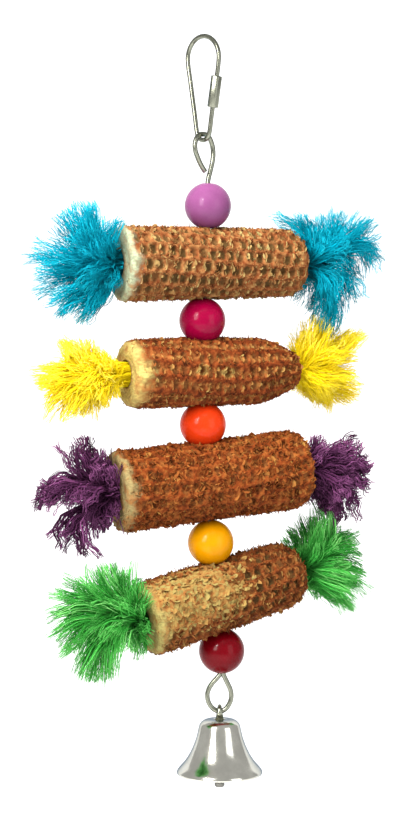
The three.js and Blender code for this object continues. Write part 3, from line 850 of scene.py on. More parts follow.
# Ranges of the flakes' widths and heights, and the mean and spread of their tilts in radians
WALL_WIDTH, WALL_HEIGHT = (1.8, 3.4), (1.0, 1.8)
LONG_WIDTH, LONG_HEIGHT, LONG_TILT = (0.25, 0.55), (1.4, 2.8), (1.0, 0.3)
CHAFF_WIDTH, CHAFF_HEIGHT, CHAFF_TILT = (0.5, 1.25), (0.5, 1.2), (0, 0.7)
FLAT_WIDTH, FLAT_HEIGHT, FLAT_TILT = (1.0, 2.6), (1.0, 2.2), (1.15, 0.2)
# Spread of the tint of walls and ridges, and its mean and spread where flakes lie flat
WALL_TINTS, RIDGE_TINTS, FLAT_TINT = 0.17, 0.26, (1.08, 0.22)
FLAKE_ROOT = 0.3


def cob_place(i):
    """Where a cob stands across the wire, its own +X axis running to its right end."""
    cob = COBS[i]
    middle = (bead_centre(BEAD_NAMES[i]) + bead_centre(BEAD_NAMES[i + 1])) / 2 + UP * cob.lift * MM
    turn = Matrix.Rotation(math.radians(cob.yaw), 4, "Z") @ Matrix.Rotation(math.radians(-cob.tilt), 4, "Y")
    return Matrix.Translation(middle) @ turn


def toward_camera(elevation):
    """The direction from the toy to a camera raised by that angle."""
    return Vector((0, -math.cos(elevation), math.sin(elevation)))


def seen_place(i, right, down):
    """The place in a cob's own frame, in millimetres, that a photo pixel shows on the plane of its axis."""
    tilt = math.radians(CAMERA_ELEVATION)
    back = toward_camera(tilt)
    upward = Vector((0, math.sin(tilt), math.cos(tilt)))
    pixel = SEEN_HEIGHT / PHOTO_SIZE[1]
    aside, above = right - PHOTO_SIZE[0] / 2, PHOTO_SIZE[1] / 2 - down
    eye = SEEN_MIDDLE + back * CAMERA_DISTANCE
    seen = SEEN_MIDDLE + Vector((aside * pixel, 0, 0)) + upward * above * pixel
    into = cob_place(i).inverted()
    near, far = into @ (eye * MM) / MM, into @ (seen * MM) / MM
    place = near + (far - near) * (near.y / (near.y - far.y))
    return place.x, 0, place.z


def cob_radius(cob, x):
    """The cob's radius in millimetres at places along its axis."""
    share = np.where(x > 0, x / cob.right, -x / cob.left)
    radius = cob.middle + (np.where(x > 0, cob.tip, cob.butt) - cob.middle) * share
    into = np.clip((x - (cob.right - cob.rounded)) / cob.rounded, 0, 1)
    return radius * (1 - (1 - cob.end_share) * into**2)


class CobSurface:
    """The net of kernel pits on one cob: where each pit lies and how deep the surface is anywhere."""

    def __init__(self, i):
        self.number = i
        self.cob = COBS[i]
        self.relief = RELIEFS[i]
        self.pitch = self.relief.pitch
        self.random = np.random.default_rng(COB_SEED + i)
        rows = self.relief.rows
        size = (rows, int((self.cob.left + self.cob.right) / self.pitch) + 6)
        self.row_shift = np.arange(rows) % 2 / 2 + self.random.normal(0, ROW_SHIFT, rows)
        self.shift = self.random.normal(0, PIT_SHIFT, size)
        self.lift = self.random.normal(0, PIT_LIFT, size)
        self.deep = np.clip(self.random.normal(1, DEEP_SPREAD, size), *DEEP_RANGE)
        self.holes = []
        for x, turn in DEEP_PITS.get(i, ()):
            row, column, _, _ = self.cell(np.array([x]), np.array([turn]))
            self.deep[row, column] = DEEPER
            self.holes.append(self.place_in(row, column, -self.shift[row, column], -self.lift[row, column]))

    def radius(self, x):
        """The radius that the flakes fill up to, with the left rim rounded off."""
        edge = self.relief.edge
        into = np.clip(1 - (x + self.cob.left) / edge, 0, 1)
        return cob_radius(self.cob, x) - edge * (1 - np.sqrt(1 - 0.96 * into**2))

    def drift(self, x):
        """How far the rows of pits wind round the cob, in radians."""
        return ROW_DRIFT * np.sin(x / DRIFT_LENGTH + self.number) + math.radians(self.cob.roll)

    def cell(self, x, turn):
        """Each place's row and column, and its place in that cell from -1 to 1 along and round."""
        rows = self.relief.rows
        row_place = (turn - self.drift(x)) / (2 * math.pi / rows)
        row = np.rint(row_place).astype(int)
        around = (row_place - row) * 2
        row = row % rows
        column_place = (x + self.cob.left) / self.pitch + self.row_shift[row]
        column = np.clip(np.rint(column_place).astype(int), 0, self.shift.shape[1] - 1)
        along = (column_place - column) * 2
        return row, column, along, around

    def place_in(self, row, column, along, around):
        """The place along the cob and the turn round it of a place in a cell."""
        x = (column - self.row_shift[row] + along / 2) * self.pitch - self.cob.left
        turn = (row + around / 2) * (2 * math.pi / self.relief.rows) + self.drift(x)
        return x, turn

    def worn(self, x, turn):
        """How far the chaff has worn away to straw, from 0 to 1."""
        if self.number != WORN_COB:
            return np.zeros_like(x)
        facing = np.clip(1.9 * np.cos(turn - WORN_TURN) - 0.6, 0, 1)
        return facing * np.clip((WORN_END - x) / WORN_FADE, 0, 1)

    def banded(self, x, turn):
        """How far the bare woody end reaches, from 1 at the left face to 0 past the band, widest in front."""
        reach = self.relief.band * (0.5 + 0.5 * np.cos(turn - FRONT) ** 2)
        return np.clip(1.4 - (x + self.cob.left) / reach, 0, 1)

    def from_hole(self, x, turn):
        """How far each place lies from the middle of the nearest deep pit, in millimetres."""
        nearest = np.full(np.shape(x), np.inf)
        for hole_x, hole_turn in self.holes:
            apart = (turn - hole_turn + math.pi) % (2 * math.pi) - math.pi
            nearest = np.minimum(nearest, np.hypot(x - hole_x, apart * self.cob.middle))
        return nearest

    def depth(self, x, turn):
        """How far the surface lies under its radius, and how far it is pit, wall and trough, from 0 to 1."""
        row, column, along, around = self.cell(x, turn)
        along = np.abs(along + self.shift[row, column])
        around = np.abs(around + self.lift[row, column])
        edge = (np.clip(along / PIT_LONG, 0, 2) ** 3 + np.clip(around / PIT_WIDE, 0, 2) ** 3) ** (1 / 3)
        pit = np.clip((1 - edge) * PIT_STEEP, 0, 1)
        pit = pit * pit * (3 - 2 * pit)
        pit = pit * self.deep[row, column] * (1 - 0.75 * self.worn(x, turn)) * (1 - self.banded(x, turn))
        trough = np.clip(1 - around, 0, 1) ** 1.2
        wall = np.clip((along - 0.6) / 0.4, 0, 1) * np.clip(1.6 - 1.6 * around, 0, 1)
        return self.relief.depth * pit + self.relief.trough * trough, np.clip(pit, 0, 1), wall, trough


def place_round(x, turn, radius):
    """Points on or about a cob, in its own frame, in millimetres. A turn of 0 is the top."""
    return np.stack([x, -np.sin(turn) * radius, np.cos(turn) * radius], axis=-1)


def rough(points, size, seed):
    """Smooth noise from -1 to 1 at each point, with features of about that size."""
    offset = Vector((seed * 7.3, seed * 3.1, seed * 5.7))
    return np.array([noise.noise(Vector(point) / size + offset) for point in points])


def points_of(mesh):
    points = np.empty(len(mesh.vertices) * 3)
    mesh.vertices.foreach_get("co", points)
    return points.reshape(-1, 3)


class CobBody:
    """The points of a cob's cylinder: where each lies, which part of the cob it is on, and its noise."""

    def __init__(self, points, surface):
        cob = surface.cob
        self.surface = surface
        self.x = points[:, 0]
        self.turn = np.arctan2(-points[:, 1], points[:, 2])
        self.radius = np.hypot(points[:, 1], points[:, 2])
        self.at_left = self.x < 0
        self.bore = np.where(self.at_left, *BORES[surface.number]) / 2
        self.on_skin = self.radius > cob.middle * 0.995
        self.in_bore = self.radius < self.bore * 0.98 + 0.2
        at_end = (self.x < -cob.left + 0.1) | (self.x > cob.right - 0.1)
        self.on_face = ~self.on_skin & ~self.in_bore & at_end
        self.face_share = np.clip((self.radius - self.bore) / (cob.middle - self.bore), 0, 1)
        self.fine = rough(points, 1.3, 1) + 0.5 * rough(points, 0.6, 2)
        self.broad = rough(points, 6, 3)
        self.sunk, self.pit, self.wall, self.trough = surface.depth(self.x, self.turn)
        self.band = surface.banded(self.x + 2.2 * self.fine + 3.2 * self.broad, self.turn)

    def raised(self):
        """The points moved to the pitted surface and the rough cut ends."""
        cob, relief = self.surface.cob, self.surface.relief
        from_end = np.minimum(self.x + cob.left, cob.right - self.x)
        end_fade = np.clip(from_end / END_FADE, END_SHARE, 1)
        under = relief.sunk * (1 - 0.6 * self.band)
        bumps = relief.rough * (self.fine + 1.2 * self.broad)
        skinned = self.surface.radius(self.x) - under - self.sunk * end_fade + bumps
        end = np.where(self.at_left, -cob.left, cob.right)
        rim = self.surface.radius(end) - 0.6 * relief.sunk - 0.3 * self.sunk
        faced = self.bore + (rim + 0.5 * self.broad - self.bore) * self.face_share + 0.15 * self.fine
        radius = np.where(self.on_skin, skinned, np.where(self.in_bore, self.radius, faced))
        hollow = 0.35 * self.fine + 0.7 * self.broad - 0.5 * (1 - self.face_share)
        dish = np.where(self.on_face, hollow, 0)
        return place_round(self.x + np.where(self.at_left, -dish, dish), self.turn, radius)

    def shades(self):
        """What the material reads at each point: depth, which paints shade into the pits and the bore, tint
        and cut.
        """
        relief = self.surface.relief
        hole = self.surface.from_hole(self.x, self.turn)
        rimmed = (hole > HOLE_RADIUS) & (hole < HOLE_RIM)
        tint = relief.body_tint + relief.wall_tint * self.wall + relief.trough_tint * self.trough
        tint = tint + 0.4 * self.fine + 0.5 * self.surface.worn(self.x, self.turn) + 0.6 * rimmed
        # Painted shade: depth falls in the pits, and is held at 0.1 in the bore.
        skin_depth = 1 - 0.85 * self.pit * min(1, relief.depth)
        face_cut = np.clip(1.5 - 0.8 * self.face_share + 0.4 * self.broad + 0.3 * self.fine, 0, 1)
        return {
            "depth": np.where(self.on_skin, skin_depth, np.where(self.on_face, 1, 0.1)),
            "tint": np.where(self.on_skin, tint, 0.4),
            "cut": np.where(self.on_skin, self.band, np.where(self.on_face, face_cut, 0.35)),
        }


class Flakes(NamedTuple):
    """Papery flakes: where each roots along and round the cob, its size, how it stands and its tint."""

    x: np.ndarray
    turn: np.ndarray
    width: np.ndarray
    height: np.ndarray
    facing: np.ndarray
    tilt: np.ndarray
    tint: np.ndarray


class COBTOY_OT_cobs(Operator):
    """Model the shelled cobs: pitted bodies bored at both ends, with papery glumes round every pit"""

    bl_idname = "cobtoy.cobs"
    bl_label = "Corn Cobs"

    def execute(self, context):
        settings = context.scene.cobtoy_cobs
        for i, relief in enumerate(RELIEFS):
            surface = CobSurface(i)
            piece = self.bored_cylinder(surface)
            body = CobBody(points_of(piece.data), surface)
            piece.data.vertices.foreach_set("co", body.raised().ravel())
            self.add_flakes(piece, surface, body.shades())
            set_in_place(piece, cob_place(i) @ Matrix.Scale(MM, 4))
            self.seat_beads(piece, i)
            core = getattr(settings, f"core_{i + 1}")
            finish = dry_cob(f"cob_{i + 1}_dry", settings, core, relief.warmth)
            hand_over(piece, f"corn_cob_{i + 1}", "string", f"cob_{i + 1}", finish)
        return {"FINISHED"}

    def bored_cylinder(self, surface):
        """A cylinder in millimetres along X, cut into rings, with a stepped face and a bore at each end."""
        cob = surface.cob
        length = cob.left + cob.right
        start_piece()
        bpy.ops.mesh.primitive_cylinder_add(
            vertices=AROUND, radius=cob.middle, depth=length, end_fill_type="NGON",
            location=((cob.right - cob.left) / 2, 0, 0), rotation=(0, math.pi / 2, 0),
        )
        piece = bpy.context.object
        bpy.ops.object.transform_apply()
        edit(piece, lambda edge: abs(edge.verts[0].co.x - edge.verts[1].co.x) > 1, "EDGE")
        bpy.ops.mesh.subdivide(number_cuts=int(length / surface.pitch * RINGS_PER_PITCH))
        for end, bore in zip((-cob.left, cob.right), BORES[surface.number]):
            edit(piece, lambda face: len(face.verts) > 4 and face.calc_center_median().x * end > 0)
            for _ in range(FACE_RINGS):
                bpy.ops.mesh.inset(thickness=(cob.middle - bore / 2) / FACE_RINGS)
            inward = math.copysign(BORE_SEEN / BORE_RINGS, -end)
            for _ in range(BORE_RINGS):
                bpy.ops.mesh.extrude_region_move(TRANSFORM_OT_translate={"value": (inward, 0, 0)})
            leave_edit()
        return piece

    def add_flakes(self, piece, surface, shade):
        """Joins papery flakes to the body: walls between the pits of a row, and chaff along the ridges."""
        makers = (self.wall_flakes, self.ridge_flakes)
        kinds = [self.bent(surface, self.pressed(surface, make(surface))) for make in makers]
        points, tint, depth, cut = (np.concatenate(pair) for pair in zip(*kinds))
        flakes, corners = points.shape[:2]
        rim = len(GLUME_RIM)
        pattern = []
        for k in range(rim):
            after = (k + 1) % rim
            pattern += [(k, after, rim), (after, k, rim + 1)]
        old = points_of(piece.data)
        old_faces = [tuple(face.vertices) for face in piece.data.polygons]
        starts = len(old) + np.arange(flakes) * corners
        faces = (starts[:, None, None] + np.array(pattern)[None]).reshape(-1, 3).tolist()
        mesh = bpy.data.meshes.new("cob")
        everything = np.concatenate([old, points.reshape(-1, 3)])
        mesh.from_pydata(everything.tolist(), [], old_faces + faces)
        for name, values in {"depth": depth, "tint": tint, "cut": cut}.items():
            paint(mesh, name, np.concatenate([shade[name], values.ravel()]))
        smooth = np.concatenate([np.ones(len(old_faces), bool), np.zeros(len(faces), bool)])
        mesh.polygons.foreach_set("use_smooth", smooth)
        piece.data = mesh

    def flake_roots(self, surface, per_pit, along, around):
        """Places along and round the cob for flakes in every cell, few on the bare end and none in a hole."""
        cob, random = surface.cob, surface.random
        row, column = (np.repeat(index.ravel(), per_pit) for index in np.indices(surface.shift.shape))
        x, turn = surface.place_in(row, column, along, around)
        bare = surface.banded(x, turn) * 0.65 > random.uniform(0, 1, len(x))
        on_cob = (x > -cob.left - 0.1) & (x < cob.right - 0.3)
        keep = on_cob & ~bare & (surface.from_hole(x, turn) > HOLE_RADIUS)
        return x[keep], turn[keep]

    def wall_flakes(self, surface):
        """Thin straw walls that stand across a row between its pits."""
        relief, random = surface.relief, surface.random
        count = surface.shift.size * relief.walls
        beside = 1 + random.normal(0, relief.scatter, count)
        x, turn = self.flake_roots(surface, relief.walls, beside, random.uniform(-0.6, 0.6, count))
        count = len(x)
        width = random.uniform(*WALL_WIDTH, count)
        height = random.uniform(*WALL_HEIGHT, count)
        facing = random.normal(0, 0.15 + relief.scatter, count)
        tilt = random.normal(0, 0.2 + relief.scatter, count)
        tint = random.normal(relief.wall_flake, WALL_TINTS, count)
        return Flakes(x, turn, width, height, facing, tilt, tint)

    def ridge_flakes(self, surface):
        """Loose chaff along the ridges, some of it long and curly and lying down."""
        relief, random = surface.relief, surface.random
        count = surface.shift.size * relief.ridges
        within = random.uniform(-1, 1, count)
        astride = 1 + random.normal(0, relief.scatter, count)
        x, turn = self.flake_roots(surface, relief.ridges, within, astride)
        count = len(x)
        long = random.random(count) < relief.shag
        width = np.where(long, random.uniform(*LONG_WIDTH, count), random.uniform(*CHAFF_WIDTH, count))
        height = np.where(long, random.uniform(*LONG_HEIGHT, count), random.uniform(*CHAFF_HEIGHT, count))
        facing = random.uniform(0, 2 * math.pi, count)
        tilt = np.where(long, random.normal(*LONG_TILT, count), random.normal(*CHAFF_TILT, count))
        tint = random.normal(relief.ridge_flake, RIDGE_TINTS, count)
        return Flakes(x, turn, width, height, facing, tilt, tint)

    def pressed(self, surface, flakes):
        """Flakes that lie flat and pale where the cob is worn, and are pale round a deep pit."""
        relief, random = surface.relief, surface.random
        count = len(flakes.x)
        flat = random.random(count) < 0.8 * surface.worn(flakes.x, flakes.turn)
        tilt = np.where(flat, random.normal(*FLAT_TILT, count), flakes.tilt)
        width = np.where(flat, random.uniform(*FLAT_WIDTH, count), flakes.width * relief.chaff)
        height = np.where(flat, random.uniform(*FLAT_HEIGHT, count), flakes.height * relief.chaff)
        tint = np.where(flat, random.normal(*FLAT_TINT, count), flakes.tint)
        by_hole = surface.from_hole(flakes.x, flakes.turn) < HOLE_RIM
        return flakes._replace(tilt=tilt, width=width, height=height, tint=tint + by_hole * 0.7)

    def bent(self, surface, flakes):
        """The flakes' points, bent and uneven, in millimetres, with the tint, depth and cut of each point."""
        random = surface.random
        x, turn, width, height, _, _, tint = flakes
        sunk, _, _, _ = surface.depth(x, turn)
        root = place_round(x, turn, surface.radius(x) - surface.relief.sunk - sunk - FLAKE_ROOT)
        across, rise = self.flake_axes(flakes)
        normal = np.cross(across, rise)
        outline = np.array([*GLUME_RIM, GLUME_MIDDLE, GLUME_MIDDLE])
        swell = np.array([*(0.0 for _ in GLUME_RIM), *GLUME_SWELL])
        whole = np.ones((len(x), len(outline)))
        u = outline[:, 0] * width[:, None] * random.uniform(0.8, 1.2, whole.shape)
        v = outline[:, 1] * height[:, None] * random.uniform(0.85, 1.15, whole.shape)
        curl = random.normal(0.25, 0.3, len(x))[:, None] * outline[:, 1] ** 2 * height[:, None]
        bend = swell * np.minimum(width, 1.2)[:, None] + curl
        points = root[:, None] + across[:, None] * u[..., None]
        points = points + rise[:, None] * v[..., None] + normal[:, None] * bend[..., None]
        # Painted shade: depth falls towards each flake's root, down among the chaff.
        depth = np.clip(0.35 + 0.65 * outline[:, 1], 0, 1) * whole
        cut = 0.6 * surface.banded(x + random.normal(0, 1, len(x)), turn)[:, None] * whole
        return points, tint[:, None] * whole, depth, cut

    def flake_axes(self, flakes):
        """The directions across each flake and up it, for how it faces and how far it tilts."""
        count = len(flakes.x)
        out = place_round(np.zeros(count), flakes.turn, 1.0)
        axis = np.tile([1.0, 0.0, 0.0], (count, 1))
        across = np.cross(out, axis) * np.cos(flakes.facing)[:, None] + axis * np.sin(flakes.facing)[:, None]
        rise = out * np.cos(flakes.tilt)[:, None] + np.cross(across, out) * np.sin(flakes.tilt)[:, None]
        return across, rise

    def seat_beads(self, piece, i):
        """Presses the surface back from the beads that the cob is strung between."""
        points = points_of(piece.data)
        for name in BEAD_NAMES[i:i + 2]:
            centre = np.array(bead_centre(name))
            clear = bead_radius(name) + SEAT_GAP * MM
            away = points - centre
            far = np.linalg.norm(away, axis=1)
            inside = far < clear
            points[inside] = centre + away[inside] / far[inside, None] * clear
        piece.data.vertices.foreach_set("co", points.ravel())
        piece.data.update()


# Rope tufts

ROPE_SEED = 60
FIBRE_SIDES = 3
MOUTH, ROOT_DEPTH, BORE_GAP = 1.5, 7, 0.35
# Degrees that wisps turn out of the photo's plane: a normal spread for some, and a range for the rest
PLANE_SHARE, PLANE_TURN, LOOSE_TURN = 0.42, 7, (10, 70)
# Wisps in front turn the other way, and this share as far
FRONT_TURN = 0.7
# Share of its lock that a wisp reaches: the most and the loss in the plane, a range out of it, and in front
PLANE_REACH, PLANE_LOSS, LOOSE_REACH, FRONT_REACH = 0.99, 0.3, (0.72, 0.96), (0.55, 0.95)
# Shares of the bore's radius: how far roots lean to a side, how far they spread, and how far out they may lie
ROOT_LEAN, ROOT_SPREAD, ROOT_LIMIT = 0.7, 0.65, 0.96
# Shares of that place where a fibre starts in the bore and where it leaves it
ROOT_START, ROOT_LEAVE = 0.9, 1.1
# For a collar wisp's bend and tip: how far ahead of the mouth, and how far from the axis
COLLAR_REACH = (((0.5, 2.5), (4, 6.5)), ((1.5, 6), (8, 13)))
SHORT_SHARE, SHORT_REACH, FULL_REACH = 0.18, (0.4, 0.9), (0.93, 1.04)
STRAY_SHARE, STRAY_CURL = 0.06, 2.2
CURL_LENGTH = 26
FACE_GAP, SKIN_GAP = 0.4, 0.6


def unit(vectors):
    return vectors / np.maximum(np.linalg.norm(vectors, axis=-1, keepdims=True), 1e-9)


def smooth_through(knots, rings):
    """Points on a smooth curve through four knots, and how many knots each point has passed."""
    passed = np.concatenate([[0, 0.6], np.linspace(1, 3, rings - 2)])
    first, last = 2 * knots[0] - knots[1], 2 * knots[3] - knots[2]
    held = np.stack([first, *knots, last], axis=1)
    whole = np.minimum(passed.astype(int), 2)
    t = (passed - whole)[None, :, None]
    a, b, c, d = (held[:, whole + k] for k in range(4))
    cubic = 2 * b + (c - a) * t + (2 * a - 5 * b + 4 * c - d) * t**2 + (3 * b - a - 3 * c + d) * t**3
    return cubic / 2, passed


class Tuft:
    """A frayed rope end: the bore that it leaves, its wisps, and the centre lines of their fibres."""

    def __init__(self, i, side):
        at_right = side == "right"
        self.number = i
        self.name = f"{ROPE_NAMES[i]}_{side}"
        self.cob = COBS[i]
        self.rope = ROPES[i]
        self.random = np.random.default_rng(ROPE_SEED + 2 * i + (not at_right))
        self.out = 1 if at_right else -1
        self.face = self.cob.right if at_right else -self.cob.left
        self.bore = BORES[i][at_right] / 2 - BORE_GAP
        self.mouth = np.array([self.face + self.out * MOUTH, 0, 0])

    def wisp_ends(self):
        """Where each wisp bends and where it ends, in the cob's own frame, in millimetres."""
        rope, random = self.rope, self.random
        locks = [Lock(*row) for row in LOCKS[self.name]]
        share = np.array([lock.share for lock in locks])
        picks = random.choice(len(locks), rope.wisps, p=share / share.sum())
        toward = np.clip(picks + random.choice((-1, 1), rope.wisps), 0, len(locks) - 1)
        part = (random.uniform(0, 0.5, rope.wisps) * rope.fan)[:, None]
        aside, reach = self.leaning()
        bends = [seen_place(self.number, lock.bend_right, lock.bend_down) for lock in locks]
        tips = [seen_place(self.number, lock.right, lock.down) for lock in locks]
        ends = []
        for places in (bends, tips):
            table = np.array(places) - self.mouth
            end = ((1 - part) * table[picks] + part * table[toward]) * reach[:, None]
            away = np.linalg.norm(end, axis=-1) * np.sin(aside)
            end = end * np.cos(aside)[:, None]
            end[:, 1] = away
            ends.append(self.mouth + end + random.normal(0, 0.4 + 0.6 * rope.curl, end.shape))
        self.lay_collar(ends)
        return ends

    def leaning(self):
        """How far each wisp turns out of the photo's plane, and the share of its lock that it reaches."""
        count, random = self.rope.wisps, self.random
        kind = random.random(count)
        in_plane = kind < PLANE_SHARE
        in_front = kind > 1 - self.rope.front
        aside = np.where(in_plane, random.normal(0, PLANE_TURN, count), random.uniform(*LOOSE_TURN, count))
        aside = np.radians(np.where(in_front, -FRONT_TURN * aside, aside))
        most = PLANE_REACH - PLANE_LOSS * random.random(count) ** 3
        reach = np.where(in_plane, most, random.uniform(*LOOSE_REACH, count))
        return aside, reach * np.where(in_front, random.uniform(*FRONT_REACH, count), 1)

    def lay_collar(self, ends):
        """Moves some wisps to lie round the mouth of the bore, close to the cut face."""
        count, random = self.rope.wisps, self.random
        collar = random.random(count) < COLLARS.get(self.name, 0)
        turn = random.uniform(0, 2 * math.pi, count)
        for end, (ahead, wide) in zip(ends, COLLAR_REACH):
            radius = random.uniform(*wide, count)
            x = self.out * random.uniform(*ahead, count)
            places = np.stack([x, np.cos(turn) * radius, np.sin(turn) * radius], axis=-1)
            end[collar] = (self.mouth + places)[collar]

    def fibres(self):
        """Centre lines of every fibre in the cob's own frame, in millimetres, and each fibre's tint."""
        rope, random = self.rope, self.random
        wisp_bend, wisp_tip = self.wisp_ends()
        wisp_tint = random.uniform(0, 1, rope.wisps)
        wisp_phase = random.uniform(0, 2 * math.pi, (rope.wisps, 2))
        pick = np.repeat(np.arange(rope.wisps), rope.fibres)
        count = len(pick)
        angle = random.uniform(0, 2 * math.pi, count)
        off = np.sqrt(random.random(count))
        ring = np.stack([np.cos(angle), np.sin(angle)], axis=-1) * off[:, None]
        start, leave = self.roots(unit(wisp_bend - self.mouth)[pick], ring)
        short = random.random(count) < SHORT_SHARE
        share = np.where(short, random.uniform(*SHORT_REACH, count), random.uniform(*FULL_REACH, count))
        heading = unit(wisp_tip - wisp_bend)[pick]
        first = unit(np.cross(heading, random.normal(0, 1, (rope.wisps, 3))[pick]))
        second = np.cross(heading, first)
        spread = ring[:, :1] * first + ring[:, 1:] * second
        bend = wisp_bend[pick] + rope.spread * spread
        tip = bend + (wisp_tip[pick] + rope.tip * spread - bend) * share[:, None]
        paths, passed = smooth_through((start, leave, bend, tip), rope.rings)
        wave = self.waves(passed, wisp_phase[pick], np.linalg.norm(tip - leave, axis=-1))
        paths = paths + wave[..., :1] * first[:, None] + wave[..., 1:] * second[:, None]
        tint = np.clip(wisp_tint[pick] + random.normal(0, 0.2, count), 0, 1)
        return self.kept_off(paths), tint

    def roots(self, heading, ring):
        """Where each fibre starts in the bore and where it leaves it, on the side that it heads for."""
        count = len(ring)
        lean = self.random.uniform(0, ROOT_LEAN, (count, 1))
        side = heading[:, 1:] * self.bore * lean + ring * self.bore * ROOT_SPREAD
        side = side / np.maximum(1, np.linalg.norm(side, axis=-1) / (self.bore * ROOT_LIMIT))[:, None]
        start = np.column_stack([np.full(count, self.face - self.out * ROOT_DEPTH), side * ROOT_START])
        return start, np.column_stack([np.full(count, self.mouth[0]), side * ROOT_LEAVE])

    def waves(self, passed, phase, length):
        """How far each fibre sways to two sides along its way, in millimetres."""
        rope, random = self.rope, self.random
        count = len(length)
        grown = np.clip((passed - 1) / 2, 0, 1)[None, :, None]
        phase = phase[:, None, :] + random.normal(0, rope.unruly, (count, 1, 2))
        stray = np.where(random.random(count) < STRAY_SHARE, STRAY_CURL, 1.0)[:, None, None]
        length = np.clip(length / CURL_LENGTH, 0.2, 1)[:, None, None]
        return rope.curl * stray * length * grown**1.1 * np.sin(2 * math.pi * rope.waves * grown + phase)

    def kept_off(self, paths):
        """Holds fibres in the bore until they leave it, and keeps those that turn back off the cob."""
        cob, bore = self.cob, self.bore
        ahead = (paths[..., 0] - self.face) * self.out
        away = np.maximum(np.hypot(paths[..., 1], paths[..., 2]), 1e-6)
        has_left = np.maximum.accumulate(ahead > 0, axis=1)
        clear = cob_radius(cob, np.clip(paths[..., 0], -cob.left, cob.right)) + SKIN_GAP
        grow = np.where(~has_left & (away > bore), bore / away, 1)
        turned_back = has_left & (ahead < FACE_GAP) & (away > bore) & (away < clear)
        over_rim = turned_back & (away > 0.6 * clear)
        grow = np.where(over_rim, clear / away, grow)
        paths[..., 1:] *= grow[..., None]
        paths[..., 0] = np.where(turned_back & ~over_rim, self.face + self.out * FACE_GAP, paths[..., 0])
        return paths


class COBTOY_OT_tufts(Operator):
    """Fray the dyed rope ends: wisps of fine fibres that fan out of the cobs' bores"""

    bl_idname = "cobtoy.tufts"
    bl_label = "Rope Tufts"

    def execute(self, context):
        ropes = context.scene.cobtoy_ropes
        for i, (name, rope) in enumerate(zip(ROPE_NAMES, ROPES)):
            dye, tip = getattr(ropes, name), getattr(ropes, f"{name}_tip")
            finish = frayed_fibre(f"rope_{name}", dye, rope.root_share, rope.dark_share, tip)
            for side in ("left", "right"):
                piece = self.spun(Tuft(i, side))
                set_in_place(piece, cob_place(i) @ Matrix.Scale(MM, 4))
                hand_over(piece, piece.name, "string", f"tuft_{name}_{side}", finish)
        return {"FINISHED"}

    def spun(self, tuft):
        """Gives every centre line a three-sided body that thins towards its tip."""
        paths, tint = tuft.fibres()
        count, rings = paths.shape[:2]
        ahead = unit(np.gradient(paths, axis=1))
        across = unit(np.cross(ahead, tuft.random.normal(0, 1, (count, 1, 3))))
        over = np.cross(ahead, across)
        t = np.concatenate([[0, 0.2], np.linspace(1 / 3, 1, rings - 2)])
        thick = tuft.rope.width * tuft.random.uniform(0.65, 1.3, (count, 1)) * (1 - 0.35 * t**3)[None, :]
        turns = np.arange(FIBRE_SIDES) * 2 * math.pi / FIBRE_SIDES
        ring = np.cos(turns)[:, None] * across[:, :, None, :] + np.sin(turns)[:, None] * over[:, :, None, :]
        points = paths[:, :, None, :] + ring * thick[:, :, None, None]
        name = f"rope_tuft_{tuft.name}"
        mesh = bpy.data.meshes.new(name)
        mesh.from_pydata(points.reshape(-1, 3).tolist(), [], self.fibre_faces(count, rings))
        paint(mesh, "along", np.tile(np.repeat(t, FIBRE_SIDES), count))
        paint(mesh, "tint", np.repeat(tint, rings * FIBRE_SIDES))
        mesh.polygons.foreach_set("use_smooth", np.ones(len(mesh.polygons), bool))
        piece = bpy.data.objects.new(name, mesh)
        bpy.context.scene.collection.objects.link(piece)
        return piece

    def fibre_faces(self, count, rings):
        """The sides of every fibre, ring by ring, and then the caps of both its ends."""
        per_fibre = rings * FIBRE_SIDES
        last = per_fibre - FIBRE_SIDES
        sides = []
        for low in range(0, last, FIBRE_SIDES):
            high = low + FIBRE_SIDES
            for side in range(FIBRE_SIDES):
                after = (side + 1) % FIBRE_SIDES
                sides.append((low + side, low + after, high + after, high + side))
        caps = [(2, 1, 0), (last, last + 1, last + 2)]
        starts = np.arange(count)[:, None, None] * per_fibre
        quads = (starts + np.array(sides)).reshape(-1, 4)
        ends = (starts + np.array(caps)).reshape(-1, 3)
        return quads.tolist() + ends.tolist()


# Bell


